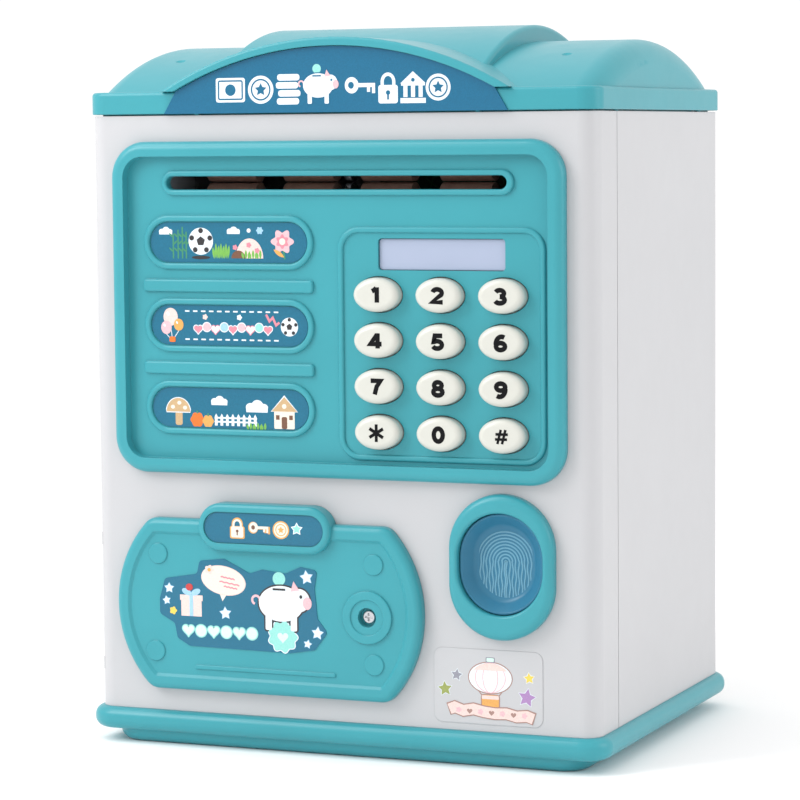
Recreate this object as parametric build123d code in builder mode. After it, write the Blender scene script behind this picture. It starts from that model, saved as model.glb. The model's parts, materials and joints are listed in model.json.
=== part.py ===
"""Toy cash-machine savings bank.

Millimetres, +Z up.  The front faces -Y and +X is to the right of someone facing it.
The origin is under the middle of the base, on the surface that the bank stands on.
"""
import os
from math import cos, radians, sin

from build123d import *

os.makedirs("parts", exist_ok=True)

# ---------------------------------------------------------------- driving dimensions
BODY_WIDTH = 180.0
BODY_DEPTH = 136.0
BODY_BOTTOM = 12.0
BODY_TOP = 212.5
BODY_CORNER = 6.0
WALL = 2.5
SEAM = -47.0            # depth at which the front cover meets the rear housing
SEAM_GAP = 0.4          # open line left between the two along the sides
FIT_GAP = 0.3           # gap round a part that drops into an opening
RUN_GAP = 0.05          # radial gap of a shaft that turns in a hole

FRONT = -BODY_DEPTH / 2
BACK = BODY_DEPTH / 2
INNER_FRONT = FRONT + WALL
INNER_BACK = BACK - WALL
HALF_WIDTH = BODY_WIDTH / 2
INNER_HALF_WIDTH = HALF_WIDTH - WALL
ALL_X = (-100.0, 100.0)  # limits past the whole bank, for cuts
ALL_Z = (-10.0, 250.0)

# Upper panel
PANEL_X = (-80.3, 80.3)
PANEL_Z = (93.1, 203.9)
PANEL_CORNER = 12.0
PANEL_PROUD = 4.5
PANEL_RIM = 5.0
FIELD_FRONT = FRONT - 0.8
FIELD_SKIN = 2.5
FIELD_BACK = FIELD_FRONT + FIELD_SKIN
RELIEF = 1.2            # height of the raised lines on the field
SOFT_EDGE = 0.8         # rounding of the raised lines

# Note slot and rollers
SLOT_Z = 190.1
SLOT_SIZE = (121.0, 4.4)
SHAFT_Y = -54.0
SHAFT_SPACING = 10.0
SHAFT_RADIUS = 1.5
ROLLER_RADIUS = 4.85
ROLLER_LENGTH = 18.0
ROLLER_CENTRES = (-42.0, -14.0, 14.0, 42.0)
DRIVE_SHAFT_Z = SLOT_Z - SHAFT_SPACING / 2
IDLER_SHAFT_Z = SLOT_Z + SHAFT_SPACING / 2
SIDE_PLATE_X = 61.0
SIDE_PLATE = 2.0

# Gears
SHAFT_GEAR_MODULE = 0.5
SHAFT_GEAR_TEETH = 20
DRIVE_MODULE = 0.7
DRIVE_TEETH = 28
PINION_TEETH = 10
MOTOR_ANGLE = -43.0     # direction from the drive shaft to the motor, seen from +X
MOTOR_RADIUS = 7.6

# Keypad
KEY_WIDTH = 15.9
KEY_HEIGHT = 11.2
KEY_COLUMNS = (15.9, 37.6, 59.2)
KEY_ROWS = (153.8, 138.9, 123.9, 108.9)
KEY_NAMES = (
    ("key_1", "key_2", "key_3"),
    ("key_4", "key_5", "key_6"),
    ("key_7", "key_8", "key_9"),
    ("key_star", "key_0", "key_hash"),
)
KEY_FRONT = FRONT - 5.2
BOARD_FRONT = -60.6
BOARD_THICK = 1.6
DISPLAY_X = (15.6, 59.7)
DISPLAY_Z = (161.7, 172.0)

# Safe door and its gooseneck hinge
DOOR_FLAT_X = (-67.7, 18.8)
DOOR_TIPS_X = (-80.3, 30.8)
DOOR_Z = (19.8, 77.9)
DOOR_BACK = FRONT - 0.2
DOOR_FRONT = FRONT - 4.5
DOOR_FIELD = DOOR_FRONT + 0.8
LOCK_FLOOR = DOOR_FRONT + 3.1
HINGE_X = -HALF_WIDTH + BODY_CORNER
HINGE_Y = FRONT + BODY_CORNER
HINGE_PIN_RADIUS = 1.25
ARM_RADIUS = 15.4
ARM_THICK = 2.4
ARM_HEIGHT = 5.0
ARM_BOTTOMS = (29.0, 62.0)
LOCK_X = 11.8
LOCK_Z = 47.9

# Latch bolt, drawn back by its solenoid
BOLT_Y = -58.2
BOLT_RADIUS = 2.2

# Fingerprint reader
PAD_X = 58.2
PAD_Z = 67.3
PAD_WIDTH = 29.2
PAD_HEIGHT = 33.3
BEZEL_Z = 66.3
BEZEL_WIDTH = 36.0
BEZEL_HEIGHT = 47.5

# Roof
ROOF_OVERHANG = 0.8
ROOF_BOTTOM = BODY_TOP + 0.5
ROOF_REST_RADIUS = 1.0
RIM_TOP = 220.4
VAULT_HALF_DEPTH = 64.0
WING_RIDGE = 236.6
WING_ROUNDING = 8.0
MIDDLE_RIDGE = 242.2
MIDDLE_HALF_WIDTH = 47.5
ARCH_HALF_WIDTH = 62.0
ARCH_TOP = 237.5
ARCH_BAND = 2.9

# Base
FLANGE_OVERHANG = 3.2
FLANGE_BOTTOM = 4.5
POST_TOP = 16.2

# Screw places
COLUMN_X = 80.0
COLUMN_Z = (21.0, 203.0)
BASE_SCREW_X = 40.0
BASE_SCREW_Y = 61.5

# Battery bay
BAY_X = 30.0
BAY_Z = (20.0, 68.0)
CELL_RADIUS = 7.2
CELL_LENGTH = 50.4
CELL_Y = 56.6
CELL_ROWS = (28.0, 44.0, 60.0)
COVER_TAB_X = (-6.0, 6.0)
COVER_TAB_Z = (60.0, 76.0)
SWITCH_X = 48.4


# ---------------------------------------------------------------- shared helpers
def save(piece, label):
    """Label a finished piece and write its STEP file."""
    piece.label = label
    export_step(piece, f"parts/{label}.step")


def facing_front(y):
    """Plane at depth y whose sketches run along X and Z and extrude towards the front."""
    return Plane.XZ.offset(-y)


def slab(x, z, y, radius=0.0, mode=Mode.ADD):
    """Block between two X, two Z and two Y limits, its corners rounded as seen from the front."""
    with BuildSketch(facing_front(max(y))) as outline:
        with Locations(((x[0] + x[1]) / 2, (z[0] + z[1]) / 2)):
            if radius:
                RectangleRounded(x[1] - x[0], z[1] - z[0], radius)
            else:
                Rectangle(x[1] - x[0], z[1] - z[0])
    return extrude(outline.sketch, amount=abs(y[1] - y[0]), mode=mode)


def stadium(centre_x, centre_z, width, height, y, mode=Mode.ADD):
    """Block with two round ends, along X when it is wide and along Z when it is tall."""
    with BuildSketch(facing_front(max(y))) as outline:
        with Locations((centre_x, centre_z)):
            turn = 0 if width >= height else 90
            SlotOverall(max(width, height), min(width, height), rotation=turn)
    return extrude(outline.sketch, amount=abs(y[1] - y[0]), mode=mode)


def disc(centre_x, centre_z, radius, y, mode=Mode.ADD):
    """Round block whose axis runs from front to back."""
    with BuildSketch(facing_front(max(y))) as outline:
        with Locations((centre_x, centre_z)):
            Circle(radius)
    return extrude(outline.sketch, amount=abs(y[1] - y[0]), mode=mode)


def oval(centre_x, centre_z, width, height, y, mode=Mode.ADD):
    """Elliptical block whose axis runs from front to back."""
    with BuildSketch(facing_front(max(y))) as outline:
        with Locations((centre_x, centre_z)):
            Ellipse(width / 2, height / 2)
    return extrude(outline.sketch, amount=abs(y[1] - y[0]), mode=mode)


def rod_x(x, y, z, radius, mode=Mode.ADD):
    """Round bar along X between two X limits."""
    with BuildSketch(Plane.YZ.offset(min(x))) as outline:
        with Locations((y, z)):
            Circle(radius)
    return extrude(outline.sketch, amount=abs(x[1] - x[0]), mode=mode)


def rod_z(x, y, z, radius, mode=Mode.ADD):
    """Round bar along Z between two Z limits."""
    with BuildSketch(Plane.XY.offset(min(z))) as outline:
        with Locations((x, y)):
            Circle(radius)
    return extrude(outline.sketch, amount=abs(z[1] - z[0]), mode=mode)


def column(half_x, y, z, radius, mode=Mode.ADD):
    """Upright block, symmetric about X = 0, with rounded vertical edges."""
    with BuildSketch(Plane.XY.offset(min(z))) as outline:
        with Locations((0, (y[0] + y[1]) / 2)):
            RectangleRounded(2 * half_x, y[1] - y[0], radius)
    return extrude(outline.sketch, amount=abs(z[1] - z[0]), mode=mode)


def gear_x(x, y, z, module, teeth, turn=0.0):
    """Spur gear blank with trapezoid teeth, its axis along X."""
    pitch = module * teeth / 2
    root = pitch - 1.2 * module
    tip = pitch + 0.85 * module
    half_root = 0.60 * module * 1.35
    half_tip = 0.28 * module
    plane = Plane(origin=(min(x), y, z), x_dir=(0, 1, 0), z_dir=(1, 0, 0))
    with BuildSketch(plane) as outline:
        Circle(root)
        with PolarLocations(0, teeth, start_angle=turn):
            Polygon(
                (root * 0.9, -half_root),
                (root, -half_root),
                (tip, -half_tip),
                (tip, half_tip),
                (root, half_root),
                (root * 0.9, half_root),
                align=None,
            )
    return extrude(outline.sketch, amount=abs(x[1] - x[0]))


def body_tube():
    """Hollow upright tube of the whole body; the caller cuts away what it doesn't need."""
    height = (BODY_BOTTOM, BODY_TOP)
    column(HALF_WIDTH, (FRONT, BACK), height, BODY_CORNER)
    column(INNER_HALF_WIDTH, (INNER_FRONT, INNER_BACK), height, BODY_CORNER - WALL, mode=Mode.SUBTRACT)


# ---------------------------------------------------------------- front cover
PANEL_WAY_X = (PANEL_X[0] + 3.3, PANEL_X[1] - 3.3)
PANEL_WAY_Z = (PANEL_Z[0] + 3.5, PANEL_Z[1] - 3.5)
DOOR_WAY_X = (-72.0, 22.0)
DOOR_WAY_Z = (25.5, 72.5)
READER_WAY = (32.6, 40.0)
HINGE_Z = (24.5, 71.5)
LUG_HEIGHTS = ((HINGE_Z[0], 28.7), (67.3, HINGE_Z[1]))
READER_BOSSES = ((38.6, 55.0), (38.6, 81.0), (77.8, 55.0), (77.8, 81.0))
READER_BOARD_Y = -59.0

with BuildPart() as front_cover:
    body_tube()
    slab(ALL_X, ALL_Z, (SEAM, BACK + 1), mode=Mode.SUBTRACT)
    through = (INNER_FRONT + 1, FRONT - 1)
    slab(PANEL_WAY_X, PANEL_WAY_Z, through, 9.0, mode=Mode.SUBTRACT)
    slab(DOOR_WAY_X, DOOR_WAY_Z, through, 4.0, mode=Mode.SUBTRACT)
    stadium(PAD_X, BEZEL_Z, *READER_WAY, through, mode=Mode.SUBTRACT)
    # hinge lugs in the left corner
    for lug in LUG_HEIGHTS:
        slab((-INNER_HALF_WIDTH - 1, HINGE_X + 3), lug, (INNER_FRONT - 1, HINGE_Y + 3.2))
    rod_z(HINGE_X, HINGE_Y, HINGE_Z, HINGE_PIN_RADIUS, mode=Mode.SUBTRACT)
    # bosses that take the housing screws, the base screws and the reader board
    for side in (-1, 1):
        for height in COLUMN_Z:
            disc(side * COLUMN_X, height, 3.5, (INNER_FRONT - 1, -40.0))
            disc(side * COLUMN_X, height, 1.15, (-60.0, -39.0), mode=Mode.SUBTRACT)
        rod_z(side * BASE_SCREW_X, -BASE_SCREW_Y, (POST_TOP, 25.0), 3.4)
        slab(
            (side * BASE_SCREW_X - 1, side * BASE_SCREW_X + 1),
            (POST_TOP, 25.0),
            (INNER_FRONT - 1, -BASE_SCREW_Y - 2),
        )
        rod_z(side * BASE_SCREW_X, -BASE_SCREW_Y, (POST_TOP - 1, 23.5), 1.25, mode=Mode.SUBTRACT)
    for boss_x, boss_z in READER_BOSSES:
        disc(boss_x, boss_z, 2.2, (INNER_FRONT - 1, READER_BOARD_Y))
        disc(boss_x, boss_z, 0.95, (INNER_FRONT + 0.5, READER_BOARD_Y + 1), mode=Mode.SUBTRACT)
save(front_cover.part, "front_cover")

# ---------------------------------------------------------------- rear housing
COLUMN_END = -39.9
TONGUE_Z = (26.0, 198.0)
BOARD_BOSSES = ((-31.0, 154.0), (31.0, 154.0), (-31.0, 191.0), (31.0, 191.0))
MAIN_BOARD_Y = 54.0
SPEAKER_Z = 116.0

with BuildPart() as rear_housing:
    body_tube()
    slab(ALL_X, ALL_Z, (SEAM + SEAM_GAP, FRONT - 1), mode=Mode.SUBTRACT)
    # tongue that slides into the front cover along the seam
    for side in (-1, 1):
        inner, outer = side * (INNER_HALF_WIDTH - 1.5), side * (INNER_HALF_WIDTH - 0.15)
        slab(sorted((inner, outer)), TONGUE_Z, (SEAM - 3.5, SEAM + 5))
        slab(sorted((inner, side * (INNER_HALF_WIDTH + 1))), TONGUE_Z, (SEAM + 1, SEAM + 5))
    # long columns for the housing screws, open to the back
    for side in (-1, 1):
        for height in COLUMN_Z:
            disc(side * COLUMN_X, height, 4.0, (INNER_BACK + 1, COLUMN_END))
            disc(side * COLUMN_X, height, 2.9, (BACK + 1, COLUMN_END + 2), mode=Mode.SUBTRACT)
            disc(side * COLUMN_X, height, 1.3, (BACK, COLUMN_END - 1), mode=Mode.SUBTRACT)
        rod_z(side * BASE_SCREW_X, BASE_SCREW_Y, (POST_TOP, 25.0), 3.4)
        slab(
            (side * BASE_SCREW_X - 1, side * BASE_SCREW_X + 1),
            (POST_TOP, 25.0),
            (INNER_BACK + 1, BASE_SCREW_Y + 2),
        )
        rod_z(side * BASE_SCREW_X, BASE_SCREW_Y, (POST_TOP - 1, 23.5), 1.25, mode=Mode.SUBTRACT)
    # battery bay and power switch openings
    slab((-BAY_X, BAY_X), BAY_Z, (BACK + 1, INNER_BACK - 1), 2.0, mode=Mode.SUBTRACT)
    slab(COVER_TAB_X, COVER_TAB_Z, (BACK + 1, INNER_BACK - 1), 2.0, mode=Mode.SUBTRACT)
    slab((46.0, 56.0), (42.0, 46.4), (BACK + 1, INNER_BACK - 1), mode=Mode.SUBTRACT)
    # speaker grille
    with BuildSketch(facing_front(BACK + 1)):
        with Locations((0, SPEAKER_Z)):
            Circle(1.4)
            with PolarLocations(5.5, 6):
                Circle(1.4)
            with PolarLocations(11.0, 12):
                Circle(1.4)
    extrude(amount=WALL + 2, mode=Mode.SUBTRACT)
    # bosses of the main board
    for boss_x, boss_z in BOARD_BOSSES:
        disc(boss_x, boss_z, 2.5, (INNER_BACK + 1, MAIN_BOARD_Y + BOARD_THICK))
        disc(boss_x, boss_z, 0.95, (INNER_BACK - 0.5, MAIN_BOARD_Y), mode=Mode.SUBTRACT)
save(rear_housing.part, "rear_housing")


# ---------------------------------------------------------------- roof cover
def vault(half_x, half_y, spring, ridge, bottom, mode=Mode.ADD):
    """Barrel vault along X on short upright walls."""
    with BuildSketch(Plane.YZ.offset(-half_x)) as outline:
        with BuildLine():
            Polyline((half_y, spring), (half_y, bottom), (-half_y, bottom), (-half_y, spring))
            ThreePointArc((-half_y, spring), (0, ridge), (half_y, spring))
        make_face()
    return extrude(outline.sketch, amount=2 * half_x, mode=mode)


def arch_segment(half_x, base, top, y, mode=Mode.ADD):
    """Segment of a circle standing on its chord, as seen from the front."""
    with BuildSketch(facing_front(max(y))) as outline:
        with BuildLine():
            Line((-half_x, base), (half_x, base))
            ThreePointArc((-half_x, base), (0, top), (half_x, base))
        make_face()
    return extrude(outline.sketch, amount=abs(y[1] - y[0]), mode=mode)


ROOF_X = HALF_WIDTH + ROOF_OVERHANG
ROOF_Y = BACK + ROOF_OVERHANG
ROOF_CORNER = BODY_CORNER + ROOF_OVERHANG
SIGN_Y = -ROOF_Y
ARCH_FRONT = SIGN_Y - 2.0
COIN_SLOT_Y = 20.0
COIN_SLOT = (32.0, 4.6)
ROOF_RESTS = ((HALF_WIDTH - WALL / 2, 45.0), (50.0, BACK - WALL / 2))
DIMPLE_X = 70.0
DIMPLE_CENTRE = (-38.7, 233.4)
DIMPLE_RADIUS = 3.0

with BuildPart() as wing_vault:
    vault(ROOF_X - 1.2, VAULT_HALF_DEPTH, RIM_TOP, WING_RIDGE, ROOF_BOTTOM + 0.6)
    ends = wing_vault.edges().filter_by(GeomType.CIRCLE)
    uprights = wing_vault.edges().filter_by(Axis.Z)
    fillet(ends + uprights, radius=WING_ROUNDING)

with BuildPart() as middle_vault:
    vault(MIDDLE_HALF_WIDTH, VAULT_HALF_DEPTH, RIM_TOP, MIDDLE_RIDGE, RIM_TOP - 3)
    fillet(middle_vault.edges().filter_by(GeomType.CIRCLE), radius=1.6)

with BuildPart() as roof_cover:
    column(ROOF_X, (-ROOF_Y, ROOF_Y), (ROOF_BOTTOM, RIM_TOP), ROOF_CORNER)
    fillet(roof_cover.faces().sort_by(Axis.Z)[-1].edges(), radius=1.2)
    fillet(roof_cover.faces().sort_by(Axis.Z)[0].edges(), radius=0.4)
    add(wing_vault.part)
    add(middle_vault.part)
    arch_segment(ARCH_HALF_WIDTH, RIM_TOP, ARCH_TOP, (SIGN_Y, -28.0))
    with BuildPart(mode=Mode.PRIVATE) as arch:
        arch_segment(ARCH_HALF_WIDTH, RIM_TOP, ARCH_TOP, (ARCH_FRONT, SIGN_Y))
        crest = arch.faces().sort_by(Axis.Y)[0].edges().filter_by(GeomType.CIRCLE)
        fillet(crest, radius=1.0)
        opening = (ARCH_FRONT - 1, SIGN_Y)
        arch_segment(ARCH_HALF_WIDTH - 5.0, RIM_TOP, ARCH_TOP - ARCH_BAND, opening, mode=Mode.SUBTRACT)
    add(arch.part)
    # locating tongue inside the body walls, and a hollow that follows both vaults
    tongue_x = INNER_HALF_WIDTH - 0.2
    tongue_y = INNER_BACK - 0.2
    column(tongue_x, (-tongue_y, tongue_y), (208.5, BODY_TOP + 0.8), 3.3)
    column(tongue_x - 2.0, (-tongue_y + 2, tongue_y - 2), (208.0, 217.8), 1.3, mode=Mode.SUBTRACT)
    vault(ROOF_X - 5.5, VAULT_HALF_DEPTH - 3.5, 217.8, WING_RIDGE - 2.6, 215.0, mode=Mode.SUBTRACT)
    vault(MIDDLE_HALF_WIDTH - 2.6, VAULT_HALF_DEPTH - 5.0, 218.5, MIDDLE_RIDGE - 2.6, 217.0,
          mode=Mode.SUBTRACT)
    # small rests that leave a shadow line over the body walls
    for side in (-1, 1):
        for rest_x, rest_y in ROOF_RESTS:
            for end in (-1, 1):
                rod_z(side * rest_x, end * rest_y, (BODY_TOP, ROOF_BOTTOM + 1), ROOF_REST_RADIUS)
    # dimple on the front slope of each wing
    with Locations(*((side * DIMPLE_X, *DIMPLE_CENTRE) for side in (-1, 1))):
        Sphere(DIMPLE_RADIUS, mode=Mode.SUBTRACT)
    # coin slot behind the ridge
    with BuildSketch(Plane.XY.offset(225.0)):
        with Locations((0, COIN_SLOT_Y)):
            SlotOverall(*COIN_SLOT)
    extrude(amount=30.0, mode=Mode.SUBTRACT)
save(roof_cover.part, "roof_cover")

with BuildPart() as sign_plate:
    with BuildSketch(facing_front(SIGN_Y)):
        with BuildLine():
            Polyline((-56.6, RIM_TOP), (-61.0, ROOF_BOTTOM), (61.0, ROOF_BOTTOM), (56.6, RIM_TOP))
            ThreePointArc((-56.6, RIM_TOP), (0, ARCH_TOP - ARCH_BAND - 0.2), (56.6, RIM_TOP))
        make_face()
    extrude(amount=0.6)
save(sign_plate.part, "sign_plate")

# ---------------------------------------------------------------- base tray
FLANGE_X = HALF_WIDTH + FLANGE_OVERHANG
FLANGE_Y = BACK + FLANGE_OVERHANG
FOOT_HALF_WIDTH = 85.5
FOOT_HALF_DEPTH = 67.5
TRAY_FLOOR = 7.0

with BuildPart() as base_tray:
    column(FLANGE_X, (-FLANGE_Y, FLANGE_Y), (FLANGE_BOTTOM, BODY_BOTTOM), BODY_CORNER + FLANGE_OVERHANG)
    rims = base_tray.faces().filter_by(Axis.Z).edges()
    fillet(rims, radius=3.4)
    with BuildPart(mode=Mode.PRIVATE) as skirt:
        column(FOOT_HALF_WIDTH, (-FOOT_HALF_DEPTH, FOOT_HALF_DEPTH), (0.0, FLANGE_BOTTOM + 2), 10.0)
        fillet(skirt.faces().sort_by(Axis.Z)[0].edges(), radius=4.0)
    add(skirt.part)
    column(84.5, (-62.5, 62.5), (TRAY_FLOOR, BODY_BOTTOM + 1), 4.0, mode=Mode.SUBTRACT)
    column(78.0, (-54.0, 54.0), (2.2, TRAY_FLOOR + 1), 6.0, mode=Mode.SUBTRACT)
    # tongue inside the body walls
    with BuildPart(mode=Mode.PRIVATE) as tongue:
        column(INNER_HALF_WIDTH - 0.2, (INNER_FRONT + 0.2, INNER_BACK - 0.2), (8.0, 16.0), 3.3)
        column(84.5, (-62.5, 62.5), (7.0, 17.0), 2.0, mode=Mode.SUBTRACT)
    add(tongue.part)
    for side in (-1, 1):
        for depth in (-BASE_SCREW_Y, BASE_SCREW_Y):
            rod_z(side * BASE_SCREW_X, depth, (FLANGE_BOTTOM, POST_TOP), 4.0)
            rod_z(side * BASE_SCREW_X, depth, (-1.0, 8.0), 2.9, mode=Mode.SUBTRACT)
            rod_z(side * BASE_SCREW_X, depth, (-1.0, POST_TOP + 1), 1.4, mode=Mode.SUBTRACT)
save(base_tray.part, "base_tray")


# ---------------------------------------------------------------- fasteners
def screw_along(plane, head_radius, head_height, shank_radius, shank_length):
    """Pan-head screw with a cross recess; the plane's normal points out of the head."""
    with BuildPart(plane) as screw:
        Cylinder(head_radius, head_height, align=(Align.CENTER, Align.CENTER, Align.MIN))
        fillet(screw.faces().sort_by(Axis(plane.origin, plane.z_dir))[-1].edges(), radius=head_height * 0.4)
        Cylinder(shank_radius, shank_length, align=(Align.CENTER, Align.CENTER, Align.MAX))
        with BuildSketch(plane.offset(head_height)):
            Rectangle(head_radius * 1.2, head_radius * 0.3)
            Rectangle(head_radius * 0.3, head_radius * 1.2)
        extrude(amount=-head_height * 0.6, mode=Mode.SUBTRACT)
    return screw.part


def upward_screw_plane(x, y, z):
    """Plane for a screw that is driven upwards."""
    return Plane(origin=(x, y, z), x_dir=(1, 0, 0), z_dir=(0, 0, -1))


def forward_screw_plane(x, y, z):
    """Plane for a screw that is driven from the back towards the front."""
    return Plane(origin=(x, y, z), x_dir=(1, 0, 0), z_dir=(0, 1, 0))


housing_screws = [
    screw_along(forward_screw_plane(side * COLUMN_X, COLUMN_END + 2, height), 2.5, 1.8, 1.1, 16.0)
    for side in (-1, 1)
    for height in COLUMN_Z
]
save(Compound(children=housing_screws), "housing_screws")

base_screws = [
    screw_along(upward_screw_plane(side * BASE_SCREW_X, depth, 8.0), 2.6, 1.8, 1.2, 14.5)
    for side in (-1, 1)
    for depth in (-BASE_SCREW_Y, BASE_SCREW_Y)
]
save(Compound(children=base_screws), "base_screws")

# ---------------------------------------------------------------- upper panel
KEYPAD_BOSSES = ((3.8, 101.5), (71.8, 101.5), (3.8, 174.2), (71.8, 174.2))
PILL_X = -38.2
PILL_HEIGHTS = (170.4, 142.8, 115.2)
PILL_OUTER = (62.0, 18.0)
PILL_INNER = (57.8, 13.8)
BAR_X = (-69.6, -7.3)
BAR_HEIGHTS = (156.0, 128.5)
BAR_WIDTH = 4.3
KEYPAD_FRAME_X = (1.4, 73.6)
KEYPAD_FRAME_Z = (99.4, 175.8)

with BuildPart() as upper_panel:
    slab(PANEL_X, PANEL_Z, (FRONT, FRONT - PANEL_PROUD), PANEL_CORNER)
    fillet(upper_panel.faces().sort_by(Axis.Y)[0].edges(), radius=2.8)
    inner_x = (PANEL_X[0] + PANEL_RIM, PANEL_X[1] - PANEL_RIM)
    inner_z = (PANEL_Z[0] + PANEL_RIM, PANEL_Z[1] - PANEL_RIM)
    slab(inner_x, inner_z, (FIELD_FRONT, FRONT - 10), PANEL_CORNER - PANEL_RIM, mode=Mode.SUBTRACT)
    skin_x = (PANEL_WAY_X[0] + FIT_GAP, PANEL_WAY_X[1] - FIT_GAP)
    skin_z = (PANEL_WAY_Z[0] + FIT_GAP, PANEL_WAY_Z[1] - FIT_GAP)
    slab(skin_x, skin_z, (FIELD_BACK, FIELD_FRONT), 8.7)
    raised = (FIELD_FRONT + 0.5, FIELD_FRONT - RELIEF)
    through_panel = (FIELD_BACK + 1, FRONT - 10)
    # raised rim of the note slot, three picture frames and the bars between them
    with BuildPart(mode=Mode.PRIVATE) as lines:
        stadium(0.4, SLOT_Z, 125.2, 8.4, raised)
        for height in PILL_HEIGHTS:
            stadium(PILL_X, height, *PILL_OUTER, raised)
            stadium(PILL_X, height, *PILL_INNER, through_panel, mode=Mode.SUBTRACT)
        for height in BAR_HEIGHTS:
            slab(BAR_X, (height - BAR_WIDTH / 2, height + BAR_WIDTH / 2), raised, 1.2)
        stadium(0, SLOT_Z, *SLOT_SIZE, through_panel, mode=Mode.SUBTRACT)
        fillet(lines.faces().group_by(Axis.Y)[0].edges(), radius=SOFT_EDGE)
    add(lines.part)
    # low ridge round the keypad
    with BuildPart(mode=Mode.PRIVATE) as keypad_ridge:
        width, height = 2.0, 0.9
        slab(KEYPAD_FRAME_X, KEYPAD_FRAME_Z, (FIELD_FRONT + 0.5, FIELD_FRONT - height), 7.5)
        ridge_x = (KEYPAD_FRAME_X[0] + width, KEYPAD_FRAME_X[1] - width)
        ridge_z = (KEYPAD_FRAME_Z[0] + width, KEYPAD_FRAME_Z[1] - width)
        slab(ridge_x, ridge_z, through_panel, 5.5, mode=Mode.SUBTRACT)
        fillet(keypad_ridge.faces().group_by(Axis.Y)[0].edges(), radius=SOFT_EDGE)
    add(keypad_ridge.part)
    # openings for notes, display and keys
    stadium(0, SLOT_Z, *SLOT_SIZE, through_panel, mode=Mode.SUBTRACT)
    slab(DISPLAY_X, DISPLAY_Z, through_panel, 1.2, mode=Mode.SUBTRACT)
    for key_z in KEY_ROWS:
        for key_x in KEY_COLUMNS:
            oval(key_x, key_z, KEY_WIDTH + 0.7, KEY_HEIGHT + 0.7, through_panel, mode=Mode.SUBTRACT)
    # bosses of the keypad board
    for boss_x, boss_z in KEYPAD_BOSSES:
        disc(boss_x, boss_z, 2.2, (FIELD_BACK - 1, BOARD_FRONT))
        disc(boss_x, boss_z, 0.95, (FIELD_BACK, BOARD_FRONT + 1), mode=Mode.SUBTRACT)
save(upper_panel.part, "upper_panel")

LABEL_THICK = 0.25
for label_name, height in zip(("top", "middle", "bottom"), PILL_HEIGHTS):
    with BuildPart() as picture_label:
        stadium(PILL_X, height, PILL_INNER[0] - 0.6, PILL_INNER[1] - 0.6,
                (FIELD_FRONT, FIELD_FRONT - LABEL_THICK))
    save(picture_label.part, f"picture_label_{label_name}")

# ---------------------------------------------------------------- display and keypad
with BuildPart() as display_window:
    slab((14.0, 61.2), (161.0, 173.6), (FIELD_BACK + 1.2, FIELD_BACK))
    slab(
        (DISPLAY_X[0] + 0.15, DISPLAY_X[1] - 0.15),
        (DISPLAY_Z[0] + 0.15, DISPLAY_Z[1] - 0.15),
        (FIELD_BACK + 0.5, FIELD_FRONT + 1.0),
        1.0,
    )
save(display_window.part, "display_window")

with BuildPart() as display_glass:
    slab((14.6, 60.8), (161.3, 173.3), (BOARD_FRONT, FIELD_BACK + 1.4))
save(display_glass.part, "display_glass")

for row, key_z in enumerate(KEY_ROWS):
    for column_index, key_x in enumerate(KEY_COLUMNS):
        with BuildPart() as key:
            oval(key_x, key_z, KEY_WIDTH, KEY_HEIGHT, (FIELD_BACK + 0.2, KEY_FRONT))
            fillet(key.faces().sort_by(Axis.Y)[0].edges(), radius=2.2)
            oval(key_x, key_z, KEY_WIDTH + 2.0, KEY_HEIGHT + 2.0, (FIELD_BACK + 1.1, FIELD_BACK + 0.1))
        save(key.part, KEY_NAMES[row][column_index])

with BuildPart() as keypad_membrane:
    slab((6.2, 69.4), (101.0, 159.9), (BOARD_FRONT, BOARD_FRONT - 1.2), 2.0)
    for key_z in KEY_ROWS:
        for key_x in KEY_COLUMNS:
            disc(key_x, key_z, 4.2, (BOARD_FRONT - 1.0, BOARD_FRONT - 2.6))
save(keypad_membrane.part, "keypad_membrane")

with BuildPart() as keypad_board:
    slab((0.5, 75.0), (98.3, 177.4), (BOARD_FRONT + BOARD_THICK, BOARD_FRONT))
    slab((20.0, 32.0), (140.0, 152.0), (BOARD_FRONT + 3.2, BOARD_FRONT + BOARD_THICK))
    slab((44.0, 52.0), (112.0, 126.0), (BOARD_FRONT + 3.2, BOARD_FRONT + BOARD_THICK))
    # notch under the drive gear
    slab((62.0, 69.8), (173.0, 178.0), (BOARD_FRONT + 5, BOARD_FRONT - 1), mode=Mode.SUBTRACT)
    for boss_x, boss_z in KEYPAD_BOSSES:
        disc(boss_x, boss_z, 1.1, (BOARD_FRONT + 5, BOARD_FRONT - 1), mode=Mode.SUBTRACT)
save(keypad_board.part, "keypad_board")

# ---------------------------------------------------------------- fingerprint reader
with BuildPart() as fingerprint_bezel:
    stadium(PAD_X, BEZEL_Z, BEZEL_WIDTH, BEZEL_HEIGHT, (FRONT, FRONT - PANEL_PROUD))
    fillet(fingerprint_bezel.faces().sort_by(Axis.Y)[0].edges(), radius=2.6)
    stadium(PAD_X, BEZEL_Z, READER_WAY[0] - 0.4, READER_WAY[1] - 0.4, (FRONT + 3.2, FRONT))
    stadium(PAD_X, PAD_Z, PAD_WIDTH, PAD_HEIGHT, (FRONT + 5, FRONT - 10), mode=Mode.SUBTRACT)
    mouth = fingerprint_bezel.faces().sort_by(Axis.Y)[0].inner_wires()[0].edges()
    fillet(mouth, radius=1.0)
save(fingerprint_bezel.part, "fingerprint_bezel")

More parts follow.
